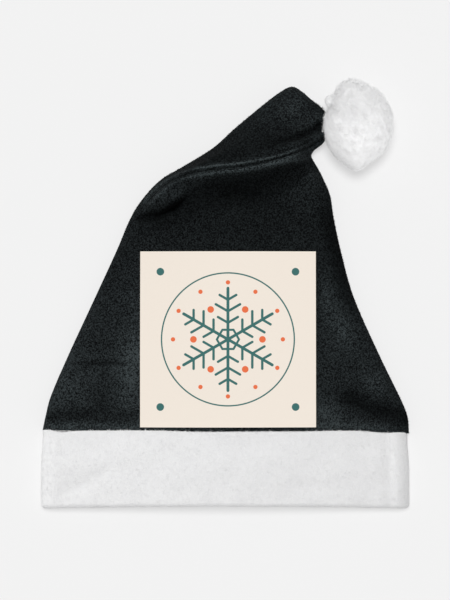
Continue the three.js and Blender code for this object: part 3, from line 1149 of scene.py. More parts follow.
@dataclass
class Pile:
    """A coat of tufts on a surface.

    Attributes:
        name: The piece's name.
        tuft: The tuft that repeats.
        density: Tufts for each square millimetre where the surface's crowd is 1.
        scale: The least and most scale of a tuft.
        lean: How far a tuft's axis leaves the surface's normal, in degrees.
        seed: The seed of all that is random.
        finish: The fibres' material.
    """

    name: str
    tuft: Tuft
    density: float
    scale: tuple[float, float]
    lean: float
    seed: int
    finish: bpy.types.Material

    def grow(self, points: Array, faces: Array, **fields: Array) -> bpy.types.Object:
        """Sets the tufts on a surface and makes them one plain mesh, held above the floor.

        Args:
            points: The surface's corners in millimetres.
            faces: Its triangles.
            **fields: Numbers at each corner: "crowd" for how thickly the tufts stand, "reach" for their scale
                and any other that the finish reads.

        Returns:
            The coat's object.
        """
        tree, names = PileTree(f"{self.name} tufts").make()
        ground = make_piece(f"{self.name}_ground", points, faces, None)
        for label, values in fields.items():
            set_field(ground, label, values)
        tuft = self.tuft.make(f"{self.name}_tuft", self.seed)
        modifier = ground.modifiers.new("tufts", "NODES")
        modifier.node_group = tree
        values = {
            "Tuft": tuft,
            "Density": self.density * 1e6,
            "Least Scale": self.scale[0],
            "Most Scale": self.scale[1],
            "Lean": math.radians(self.lean),
            "Seed": self.seed,
            "Finish": self.finish,
        }
        for label, value in values.items():
            modifier[names[label]] = value
        bpy.context.view_layer.update()
        shown = ground.evaluated_get(bpy.context.evaluated_depsgraph_get())
        mesh = bpy.data.meshes.new_from_object(shown)
        mesh.name = self.name
        spots = np.empty(3 * len(mesh.vertices), np.float32)
        mesh.vertices.foreach_get("co", spots)
        spots[2::3] = np.maximum(spots[2::3], 0)
        mesh.vertices.foreach_set("co", spots)
        coat = bpy.data.objects.new(self.name, mesh)
        bpy.context.scene.collection.objects.link(coat)
        bpy.data.objects.remove(ground)
        bpy.data.objects.remove(tuft)
        for label in ("crowd", "reach"):
            if label in mesh.attributes:
                mesh.attributes.remove(mesh.attributes[label])
        mesh.shade_smooth()
        LOG.info("%s: %d triangles", self.name, sum(len(p.vertices) - 2 for p in mesh.polygons))
        return coat


def set_piece(piece: bpy.types.Object, slot: Slot, *nodes: Node) -> bpy.types.Object:
    """Fixes a piece to the hat.

    Args:
        piece: The piece.
        slot: Its material slot in the record.
        *nodes: The solids that it stands for.

    Returns:
        The same piece.
    """
    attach(piece, BODY)
    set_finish(piece, slot.value)
    if nodes:
        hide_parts(*(n.value for n in nodes))
    LOG.info("%s: %d faces", piece.name, len(piece.data.polygons))
    return piece


@dataclass
class Crown:
    """The fleece cone: two panels sewn together, whose tip rolls over to the right. All in millimetres.

    Attributes:
        fleece: The fleece's thickness.
        base: Where the panels end at the cuff.
        run: How far in the tube's rounded edges reach.
        gate: How far in from the outline the roll has its full height.
        seam_inset: How far in from the outline the left seam runs.
        right_inset: How far in from the outline the right seam runs, underneath.
        seam_join: Where the left seam leaves the side and comes round onto the front.
        right_join: Where the right seam leaves the side.
        flat_rub: How pale the nap is where nothing rubs it.
        seam_focus: The point towards which the seam's line is drawn in, for its height over the table.
        seam_shrink: How much the seam's line is drawn in.
        seam_shown: Between which heights up the hat the seam opens into a double welt.
        ridge_half: How far the welt's ridges lie from the seam, at its left part and at its right.
        ridge_width: How wide a ridge is.
        welt_rise: How high the ridges stand.
        groove_width: How wide the groove between them is.
        groove_depth: How deep the groove is.
        dip_reach: How far up the panels the mouth's dip is felt.
        notch_depth: How deep the notch under the tip's fold is.
        notch_start: Between which heights up the hat the notch sets in.
        notch_end: Between which heights it ends.
        notch_across: Between which places across the hat it deepens.
        rolled_rub: How much paler the roll's right part is painted, a painted highlight, and how much darker its left
            part, a painted shade.
        lower_rub: How much paler the lower part is painted, clear of the painted shade under the roll, and its left
            side besides, as painted light from the left.
        welt_rub: How much paler the welt's ridges are painted, a painted highlight, and its right part besides.
        groove_rub: How much paler the groove between them is painted, painted light that lifts its shade.
        under_rub: How many times paler the underside is.
        nap_density: How many tufts of nap a square millimetre has.
        seam_reach: The nap's scale right at the seam.
        fray: How much longer the loose fibres at the tip are.
        net_passes: How often the net is split where its edges are too long.
        net_bands: How far from the seam the net is fine, and middling.
        net_edges: The longest edge by the seam, next to it, further out and underneath.
        plain_edge: The longest edge by the seam in the hat's lower part.
        sharp_angle: The angle in degrees past which an edge is shaded sharp.
    """

    fleece: float = 3.0
    base: float = -HAT_LENGTH / 2 + 61.1 + GAP
    run: float = 12.0
    gate: float = 14.0
    seam_inset: float = 1.2
    right_inset: float = 5.5
    seam_join: float = 50.0
    right_join: float = 92.0
    flat_rub: float = 0.155
    seam_focus: tuple[float, float] = (0.0, -5.0)
    seam_shrink: float = 0.987
    seam_shown: tuple[float, float] = (62.0, 77.0)
    ridge_half: tuple[float, float] = (2.75, 2.0)
    ridge_width: float = 1.4
    welt_rise: float = 1.25
    groove_width: float = 0.8
    groove_depth: float = 0.5
    dip_reach: float = 24.0
    notch_depth: float = 3.6
    notch_start: tuple[float, float] = (124.0, 126.2)
    notch_end: tuple[float, float] = (139.0, 127.0)
    notch_across: tuple[float, float] = (60.0, 77.0)
    rolled_rub: tuple[float, float] = (0.35, 0.5)
    lower_rub: tuple[float, float] = (0.6, 0.2)
    welt_rub: tuple[float, float] = (1.0, 0.6)
    groove_rub: float = 0.6
    under_rub: float = 1.6
    nap_density: float = 0.34
    seam_reach: float = 0.55
    fray: float = 1.4
    net_passes: int = 3
    net_bands: tuple[float, float] = (8.0, 32.0)
    net_edges: tuple[float, float, float, float] = (0.85, 1.45, 2.5, 3.4)
    plain_edge: float = 0.95
    sharp_angle: float = 50.0

    def __post_init__(self) -> None:
        """Lays out the stations, the seams, the roll and the folds."""
        base = self.base
        rows = (
            ((-143.9, base), (145, base), 7, 13, 2),
            ((-141.5, -96), (143.9, -96), 7, 14, 1),
            ((-137.8, -81.6), (138.4, -82.9), 7, 15, 0),
            ((-123.6, -48.4), (121.9, -49), 7, 16, 0),
            ((-101.7, -1.1), (101.2, -2), 7, 15, 0),
            ((-85.4, 34.4), (91.1, 34.4), 7, 13, 0),
            ((-74, 60.8), (85.6, 60), 7.5, 11, 0),
            ((-64.4, 75.6), (82.9, 77), 8, 9, 0),
            ((-50.6, 89.9), (77.6, 90), 8.5, 8, 0),
            ((-34.8, 99.3), (73.6, 98), 9, 7, 0),
            ((-9.8, 114.8), (70, 104), 9, 7, 0),
            ((8.2, 130.8), (68.4, 107), 9, 7, 0),
            ((30.6, 149.3), (68, 109.3), 9, 6, 1),
            ((44, 159.2), (68.8, 111.2), 9, 6, 2),
            ((52.9, 163), (70.2, 112.8), 9, 5.5, 3),
            ((60.8, 158.7), (72, 114.2), 9, 5, 4.5),
            ((68.1, 152.3), (74.2, 115.8), 9, 4, 6.5),
            ((75, 146.7), (77, 118.2), 8.5, 3.5, 9),
            ((78.8, 141.4), (79.2, 122), 8, 3, 12),
        )
        self.stations = [Station(*row) for row in rows]
        self.left = np.array([s.left for s in self.stations], float)
        self.right = np.array([s.right for s in self.stations], float)
        walk = np.concatenate([[0], np.cumsum(np.linalg.norm(np.diff(self.left, axis=0), axis=1))])
        self.places = walk / walk[-1]
        seam = [(-71.2, 58), (-60.4, 74.4), (-51.4, 83.4), (-41, 90.4), (-27.7, 95.1)]
        seam += [(-7, 98.4), (15.7, 100.9), (43.3, 107), (63, 114.8), (80, 124.8)]
        seam = (np.array(seam) - self.seam_focus) * self.seam_shrink + self.seam_focus
        self.seam = PlanLine.curve(list(seam), 361)
        side = (self.right - self.left) / np.linalg.norm(self.right - self.left, axis=1)[:, None]
        self.left_seam = self._side_seam(self.left + side * self.seam_inset, self.seam_join, self.seam.spots)
        end = np.array([(66, 101), (61, 110), (62.5, 122), (69, 132), (80, 136.5)], float)
        self.right_seam = self._side_seam(self.right - side * self.right_inset, self.right_join, end)
        roll = (
            RollStep(0, 0, 10, 6, 0),
            RollStep(0.11, 6, 15, 8, 0.8),
            RollStep(0.22, 10, 21, 12, 1),
            RollStep(0.33, 11, 21, 16, 0.4),
            RollStep(0.44, 11, 20, 24, 0.15),
            RollStep(0.56, 12, 24, 30, 0.05),
            RollStep(0.67, 12, 26, 36, 0.1),
            RollStep(0.78, 12, 24, 38, 0.1),
            RollStep(0.89, 10, 14, 26, 0.3),
            RollStep(1, 3, 8, 12, 0.5),
        )
        self.roll = np.array([(r.at, r.height, r.below, r.above, r.steep) for r in roll], float)
        foot = [(-73, 60), (-66.5, 61.2), (-51.4, 62.8), (-39.6, 69.1), (-27.7, 77), (-18.5, 82.6), (-6, 86)]
        self.foot = PlanLine.curve(foot, 200)
        # The last number of each crease is its painted tone: painted shade in folds below 0, painted highlights on
        # raised lines above 0.
        self.creases = (
            Crease(((-72, 58.4), (-52, 61), (-39.6, 67.4), (-27.7, 75), (-14, 83)), 1.6, 3.0, (0.06, 0.55), -0.9),
            Crease(((-64, 55), (-38, 61), (-14, 71), (16, 75), (50, 76)), 0.7, 9, (0.12, 0.25), -0.55),
            Crease(((16, 95.6), (42.7, 101.4), (58.2, 104.2), (70, 109)), -0.9, 1.6, (0.35, 0.1), 1.15),
            Crease(((24, 118.6), (46, 119.6), (61, 123.8), (70.4, 128.2), (76, 133.2)), 3.2, 2.8, (0.5, 0.02), -1.0),
            Crease(((34, 111.4), (52, 115), (66, 120.4), (79, 126.4)), -0.8, 2.2, (0.3, 0.02), 0.4),
            Crease(((52, 131), (66, 133), (73, 138), (78, 142)), -1.4, 3.6, (0.5, 0.05), 0.45),
            Crease(((-126, -55.5), (-104, -55.4), (-90, -54.8), (-68, -56)), 0.9, 1.7, (0.3, 0.05), -0.6),
            Crease(((-142, -97), (-108, -95), (-66, -97)), 0.9, 5, (0.05, 0.05), -0.7),
            Crease(((-142, -104.5), (-100, -104), (-66, -104.5)), 0, 2.6, (0.02, 0.02), 0.5),
            Crease(((84, -76), (104, -85), (122, -91.5), (146, -98)), 1.6, 7, (0.25, 0.02), -1.2),
            Crease(((60, -103.5), (100, -104), (132, -106)), 0, 3.0, (0.05, 0.2), 0.7),
            Crease(((108, -30), (94, 14), (86, 48), (82, 72)), 0, 9, (0.3, 0.2), -0.7),
        )
        # The last number of each swell is its painted tone: painted shade in dips below 0, painted highlights on rises
        # above 0.
        self.swells = (
            Swell((-75, -58), (26, 8), 86, 1.5, 0.7),
            Swell((-97, -84), (16, 8), 80, -1.0, -0.5),
            Swell((-122, -74), (12, 9), 60, 0.9, 0.3),
            Swell((-88, -18), (34, 12), 68, 0.7, 0.05),
            Swell((85, -8), (30, 9), 100, 1.4, 0.45),
            Swell((119, -72), (10, 8), 118, 1.0, 0.45),
            Swell((79, -95), (14, 8), -8, 0.8, 0.75),
            Swell((64, 80), (20, 13), 96, 1.2, 0.45),
            Swell((10, 86), (42, 10), 4, 0, -0.35),
            Swell((-42, 75), (18, 7), 30, 0.6, 0.5),
            Swell((-20, 88), (13, 4.5), 18, 0.4, 0.45),
            Swell((54, 142), (12, 8), 40, 0.8, 0.45),
            Swell((36, 125), (24, 8), 12, -0.5, -0.6),
            Swell((71, 147), (6, 5), -40, 0, -0.4),
            Swell((18, 112), (20, 6), 12, -0.5, -0.35),
            Swell((-36, 81), (8, 4.5), 35, 0, 1.0),
            Swell((-34, 93), (16, 4.5), 30, 0, -0.6),
            Swell((-95, -95), (10, 4), 0, 0, 0.45),
            Swell((-71, -58), (18, 4), 86, 0, 0.5),
            Swell((41, 117), (14, 5), 12, 0, -0.5),
            Swell((71, 93), (8, 8), 0, 0, 0.45),
            Swell((57, 46), (14, 10), 0, 0, 0.3),
            Swell((-100, -34), (28, 18), 68, 0, -0.32),
            Swell((78, 2), (24, 4.5), 90, 0, 0.4),
            Swell((94, -27), (14, 10), -60, 0, 0.55),
        )

    def _side_seam(self, line: Array, limit: float, end: Array) -> PlanLine:
        """Lays out a seam that follows one side from the mouth and then its own way to the tip.

        Args:
            line: The way along the side.
            limit: How far up the hat it follows the side.
            end: Its own way from there.

        Returns:
            The seam's line, which starts a little below the mouth.
        """
        start = line[:1] - [[0, 3.0]]
        return PlanLine.chain(np.concatenate([start, line[line[:, 1] < limit], end]))

    def roll_height(self, spots: Array) -> Array:
        """The height that the roll adds to the crown's top.

        Below the seam the roll falls off faster, down to its foot's line at the left, and above it more gently.

        Args:
            spots: Points seen from above, one row each.

        Returns:
            One height for each point.
        """
        far, along = self.seam.locate(spots)
        height, below, above, steep = through(self.roll[:, 0], self.roll[:, 1:], along).T
        to_foot = self.foot.locate(spots)[0]
        held = np.abs(far) + np.maximum(to_foot, 0.01)
        measured = 1 - smooth(0.36, 0.5, along)
        below = below + (np.where(to_foot > 0, held, np.abs(far)) - below) * measured
        reach = np.abs(far) / np.maximum(np.where(far > 0, above, below), 0.01)
        inside = np.minimum(reach, 1)
        soft, drop = (1 + np.cos(np.pi * inside)) / 2, np.sqrt(1 - inside**4)
        steep = np.where(far > 0, 0, steep)
        return height * (soft + (drop - soft) * steep)

    def folds(self, spots: Array) -> Array:
        """The height that creases and swells add at points seen from above."""
        return sum(fold.rise(spots) for fold in (*self.creases, *self.swells))

    def rub(self, spots: Array, top: Array) -> Array:
        """The painted light and shade in the nap's colour: painted highlights mostly on the welts, painted shade mostly
        in the folds.

        Args:
            spots: Points seen from above, one row each.
            top: Whether each point is on the upper side.

        Returns:
            One number for each point, for the finish to mix its two colours by.
        """
        ridge, groove = self._seam_bands(spots)
        # Painted light and shade: the folds' and swells' tones, the roll's paler right and darker left, the paler lower
        # part and left side, and the paler welts and groove.
        tone = sum(fold.tone * fold.shape(spots) for fold in (*self.creases, *self.swells))
        above = smooth(3, 8, self.left_seam.locate(spots)[0])
        x, y = spots[:, 0], spots[:, 1]
        (right, left), (low, low_left), (welt, welt_right) = self.rolled_rub, self.lower_rub, self.welt_rub
        tone = tone + above * (right * smooth(5, 45, x) - left * smooth(25, -15, x))
        tone = tone + (1 - above) * smooth(50, -50, y) * (low + low_left * smooth(20, -20, x))
        tone = tone + (welt + welt_right * smooth(-45, 5, x)) * ridge + self.groove_rub * groove
        return np.where(top, self.flat_rub * np.exp(tone), self.flat_rub * self.under_rub)

    def _seam_bands(self, spots: Array) -> tuple[Array, Array]:
        """Finds the seam's double welt at points seen from above.

        Args:
            spots: The points, one row each.

        Returns:
            How much there is of the two ridges, which pucker a little along the seam, and of the groove.
        """
        far, along = self.left_seam.locate(spots)
        shown = smooth(*self.seam_shown, spots[:, 1])
        first, last = self.ridge_half
        half = first + (last - first) * smooth(-20, 60, spots[:, 0])
        pucker = 1 + 0.14 * np.sin(along * 410) * np.sin(along * 133 + 1.1)
        upper = (1.1 - 0.3 * smooth(30, 60, spots[:, 0])) * bell(far - half, self.ridge_width)
        below = 2.6 + 1.2 * smooth(0, 30, spots[:, 0])
        lower = bell(np.maximum(far + half, 0), self.ridge_width) * bell(np.minimum(far + half, 0), below)
        return shown * pucker * (upper + lower), shown * bell(far, self.groove_width)

    def seam_welt(self, spots: Array) -> Array:
        """The double welt that the seam's turned-in edges raise, with the groove between them."""
        ridge, groove = self._seam_bands(spots)
        return self.welt_rise * ridge - self.groove_depth * groove

    def place(self, at: Array, turn: Array, inset: float = 0.0, fine: bool = False) -> Array:
        """The points of the crown's skin.

        Args:
            at: The share of the way from the mouth to the tip.
            turn: From 0 at the left outline over the top to 1 at the right one and back underneath to 2.
            inset: How far inside the skin the points lie.
            fine: Whether the seam's welt and the folds are added.

        Returns:
            One row for each point.
        """
        values = [(s.edge, s.dome, s.lift) for s in self.stations]
        left, right = through(self.places, self.left, at), through(self.places, self.right, at)
        edge, dome, lift = through(self.places, np.array(values, float), at).T
        across = right - left
        width = np.linalg.norm(across, axis=1)
        top = turn < 1
        share = np.where(top, turn, 2 - turn)
        sideways, rise, from_edge = tube_point(width / 2, edge, self.run, dome, share, top, inset)
        spots = (left + right) / 2 + across / width[:, None] * sideways[:, None]
        notch = smooth(*self.notch_end, spots[:, 1]) * smooth(*self.notch_start, spots[:, 1])
        notch = notch * smooth(*self.notch_across, spots[:, 0])
        spots[:, 0] -= self.notch_depth * notch
        raised = np.where(top, self.roll_height(spots) * smooth(0, self.gate, from_edge), 0)
        if fine:
            raised = raised + np.where(top, self.folds(spots) * smooth(0, 9, from_edge), 0)
        if fine and not inset:
            raised = raised + np.where(top, self.seam_welt(spots) * smooth(0, 3, from_edge), 0)
        spots[:, 1] -= mouth_dip(spots[:, 0]) * smooth(self.dip_reach, 0, spots[:, 1] - self.base)
        return np.column_stack([spots, lift + rise + raised])

    def top_height(self, spots: Array) -> Array:
        """The height of the crown's top in its lower part.

        The line across the crown on which each point lies is found by halving, and the place on that line is
        worked back through the tube's section.

        Args:
            spots: Points seen from above, one row each.

        Returns:
            One height for each point.
        """
        low, high = np.zeros(len(spots)), np.full(len(spots), 0.6)
        for _ in range(24):
            middle = (low + high) / 2
            a, b = through(self.places, self.left, middle), through(self.places, self.right, middle)
            past = (b[:, 0] - a[:, 0]) * (spots[:, 1] - a[:, 1]) - (b[:, 1] - a[:, 1]) * (spots[:, 0] - a[:, 0]) > 0
            low, high = np.where(past, middle, low), np.where(past, high, middle)
        a, b = through(self.places, self.left, low), through(self.places, self.right, low)
        width = np.linalg.norm(b - a, axis=1)
        sideways = ((spots - (a + b) / 2) * (b - a) / width[:, None]).sum(1)
        half, run = width / 2, np.minimum(self.run, width / 2)
        from_edge = np.maximum(half - np.abs(sideways), 0)
        rounded = EDGE_SHARE * np.arccos(np.clip(1 - from_edge / run, -1, 1)) / (math.pi / 2)
        flat = EDGE_SHARE + (0.5 - EDGE_SHARE) * (from_edge - run) / (half - run)
        near = np.where(from_edge < run, rounded, flat)
        return self.place(low, np.where(sideways < 0, near, 1 - near), fine=True)[:, 2]

    def _target(self, points: Array) -> Array:
        """The longest edge that the panels' net may have.

        Args:
            points: Where, one row each.

        Returns:
            One length for each point.
        """
        spots = points[:, :2]
        far = np.abs(self.left_seam.locate(spots)[0])
        by_seam, near, out, under = self.net_edges
        allowed = np.where(far < self.net_bands[0], by_seam, np.where(far < self.net_bands[1], near, out))
        plain = np.where(far < 3, self.plain_edge, out)
        allowed = np.where(spots[:, 1] < 45, np.maximum(allowed, plain), allowed)
        return np.where(points[:, 2] < 6.5, np.maximum(allowed, under), allowed)

    def panels(self) -> dict[Node, Skin]:
        """Cuts the crown's net apart along the seams.

        Returns:
            Each panel's net.
        """
        even = np.linspace(0, 1, 110)
        skin = Skin.grid(even + 0.35 * even * (1 - even), 160)
        skin = skin.refined(self.place, self._target, self.net_passes)
        spots = self.place(skin.at, skin.turn)[:, :2]
        top = skin.turn < 1
        level = np.where(top, self.left_seam.locate(spots)[0], self.right_seam.locate(spots)[0])
        gap = np.where(top, 0.03 + (GAP - 0.03) * smooth(*self.seam_shown, spots[:, 1]), GAP)
        return {Node.FRONT: skin.kept(-level - gap / 2), Node.BACK: skin.kept(level - gap / 2)}

    def build(self, fleece: bpy.types.Material, nap: bpy.types.Material) -> None:
        """Makes both panels with their nap.

        Args:
            fleece: The panels' finish.
            nap: The finish of the nap's fibres.
        """
        for node, skin in self.panels().items():
            outer = self.place(skin.at, skin.turn, fine=True)
            inner = self.place(skin.at, skin.turn, self.fleece, fine=True)
            count = len(outer)
            rim = skin.rim()
            a, b = rim[:, 0], rim[:, 1]
            faces = np.concatenate(
                [
                    skin.faces,
                    skin.faces[:, ::-1] + count,
                    np.stack([b, a, a + count], 1),
                    np.stack([b, a + count, b + count], 1),
                ]
            )
            panel = make_piece(f"fleece_{node.value}", np.concatenate([outer, inner]), faces, fleece)
            # The panel's colour carries painted light and shade, kept as a field that the finish and the nap read.
            rub = self.rub(outer[:, :2], skin.turn < 1)
            set_field(panel, "rub", np.concatenate([rub, np.full(count, self.flat_rub)]))
            panel.data.set_sharp_from_angle(angle=math.radians(self.sharp_angle))
            set_piece(panel, Slot.FLEECE, node)
            coat = self._nap(node, skin, outer, rub, nap)

    def _nap(
        self, node: Node, skin: Skin, outer: Array, rub: Array, finish: bpy.types.Material
    ) -> bpy.types.Object:
        """Grows the short nap on one panel, except under the print, with loose fibres at the tip.

        Args:
            node: The panel's solid.
            skin: The panel's net.
            outer: The net's corners on the outside.
            rub: The painted light and shade in the nap's colour at each corner.
            finish: The fibres' material.

        Returns:
            The nap's object.
        """
        middle = outer[skin.faces].mean(1)
        away = np.abs(middle[:, :2] - np.array(PRINT_MIDDLE)).max(1)
        under = (away < PRINT_HALF) & (skin.turn[skin.faces[:, 0]] < 1)
        faces = skin.faces[~under]
        below = smooth(9, 4, outer[:, 2])
        crowd = 1 - 0.7 * below
        seam = np.abs(self.left_seam.locate(outer[:, :2])[0])
        fray = smooth(70, 77, outer[:, 0]) * smooth(116, 122, outer[:, 1])
        reach = self.seam_reach + (1 - self.seam_reach) * smooth(0.6, 3.0, seam) + self.fray * fray
        tuft = Tuft(fibres=5, length=1.25, width=0.16, lean=(35, 78), curl=35)
        seed = 11 if node is Node.FRONT else 12
        pile = Pile(f"nap_{node.value}", tuft, self.nap_density, scale=(0.7, 1.15), lean=12, seed=seed, finish=finish)
        return set_piece(pile.grow(outer, faces, crowd=crowd, reach=reach, rub=rub), Slot.FLEECE)


@dataclass
class Cuff:
    """The folded plush band round the mouth. All in millimetres.

    Attributes:
        half: Half the band's width.
        edge: Half the height of its rounded sides.
        run: How far in its rounded sides reach.
        dome: How much higher its middle is.
        depth: How deep it is, from its fold to the seam.
        wall: The thickness of the folded plush.
        pinch: How far the seam pulls both layers in.
        pinch_share: Over which share of the depth it does so.
        around: How many corners the net has round the band.
        arch: How far the fold's middle is drawn up.
        edge_waves: The seam's small waves, each by its middle, its width and its height.
        inner_share: Past which share of the way round the wall the pile is on the inside, and thin.
        upper_from: Above which height the pile is the upper coat's.
    """

    half: float = HAT_WIDTH / 2
    edge: float = 10.0
    run: float = 14.0
    dome: float = 13.0
    depth: float = 60.5
    wall: float = 7.0
    pinch: float = 1.6
    pinch_share: float = 0.6
    around: int = 420
    arch: float = 2.4
    inner_share: float = 0.74
    upper_from: float = 12.0
    edge_waves: tuple = ((-78, 34, 0.9), (0, 16, 0.3), (80, 22, 0.5), (137, 8, 1.3), (-128, 8, -0.9), (-139, 6, 1.0))

    def __post_init__(self) -> None:
        """Lays out the wrinkles."""
        self.creases = (
            Crease(((-137, -162), (-110.5, -151), (-94, -141), (-83, -130)), 1.4, 6.2, (0.15, 0.35)),
            Crease(((130, -174), (129, -140), (127, -104)), 1.3, 5.0, (0.02, 0.02)),
            Crease(((-20, -118), (20, -121), (60, -119)), 0.6, 7.0, (0.4, 0.4)),
            Crease(((30, -158), (70, -152), (96, -155)), 0.6, 6.0, (0.4, 0.4)),
        )

    def section(self) -> tuple[Array, Array]:
        """Lays out the wall in section, down its outer face, round the fold and up its inner face.

        Returns:
            How far up the hat each point is, and how far inside the band's outer skin.
        """
        fold, radius = -HAT_LENGTH / 2, self.wall / 2
        seam = fold + self.depth
        down = np.linspace(0, 1, 46)
        up = np.linspace(0, 1, 24)
        angle = np.linspace(0, np.pi, 15)[1:-1]
        straight = seam - fold - radius
        y = [seam - straight * down, fold + radius * (1 - np.sin(angle)), fold + radius + straight * up]
        outer = self.pinch * (1 - smooth(0, self.pinch_share, down))
        inner = self.wall - self.pinch * smooth(1 - self.pinch_share, 1, up)
        return np.concatenate(y), np.concatenate([outer, radius * (1 - np.cos(angle)), inner])

    def net(self) -> tuple[Array, Array, Array]:
        """Shapes the band.

        Returns:
            Its corners, its triangles and the share of each corner's way round its wall.
        """
        y, inset = self.section()
        fold = -HAT_LENGTH / 2
        rings = len(y)
        turn = np.tile(np.arange(self.around) * 2 / self.around, rings)
        level, deep = np.repeat(y, self.around), np.repeat(inset, self.around)
        top = turn < 1
        share = np.where(top, turn, 2 - turn)
        sideways, rise, from_edge = tube_point(self.half, self.edge, self.run, self.dome, share, top, deep)
        spots = np.column_stack([sideways, level])
        facing = smooth(3.2, 0.5, deep)
        raised = sum(c.rise(spots) for c in self.creases) + 0.3 * ripple(spots, 34, 5)
        low = np.clip((self.depth - (level - fold)) / self.depth, 0, 1)
        arch = self.arch * (1 - (sideways / self.half) ** 2) * low
        dip = mouth_dip(sideways) * (1 - low)
        wave = 0.35 * np.sin(sideways / 17 + 0.6) * np.sin(sideways / 41) + 0.55 * (1 - bell(sideways + 8, 40))
        wave = wave + sum(high * bell(sideways - x, wide) for x, wide, high in self.edge_waves)
        spots[:, 1] += arch - dip + wave * (1 - low)
        height = rise + np.where(top, raised * smooth(0, 7, from_edge) * facing, 0)
        points = np.column_stack([spots, height])
        skin = Skin.grid(np.linspace(0, 1, rings + 1)[:-1], self.around)
        last = (rings - 1) * self.around
        side = np.arange(self.around)
        after = (side + 1) % self.around
        closing = np.concatenate(
            [np.stack([last + side, last + after, after], 1), np.stack([last + side, after, side], 1)]
        )
        faces = np.concatenate([skin.faces, closing])[:, ::-1]
        return points, faces, np.repeat(np.arange(rings) / rings, self.around)

    def build(self, plush: bpy.types.Material, fibre: bpy.types.Material) -> None:
        """Makes the band and its pile.

        Args:
            plush: The band's finish.
            fibre: The finish of the pile's fibres.
        """
        points, faces, way = self.net()
        band = set_piece(make_piece("plush_cuff", points, faces, plush), Slot.PLUSH, Node.CUFF)
        inside = way > self.inner_share
        tuft = Tuft(fibres=6, length=2.1, width=0.18, lean=(68, 87), curl=8)
        upper = points[faces].mean(1)[:, 2] > self.upper_from
        for side, chosen, seed in (("top", upper, 21), ("under", ~upper, 22)):
            crowd = np.where(inside, 0.2, 1.0) * (1 - 0.6 * smooth(4, 1, points[:, 2]))
            pile = Pile(f"cuff_pile_{side}", tuft, density=0.42, scale=(0.7, 1.1), lean=6, seed=seed, finish=fibre)
            set_piece(pile.grow(points, faces[chosen], crowd=crowd, reach=np.ones(len(points))), Slot.PLUSH)


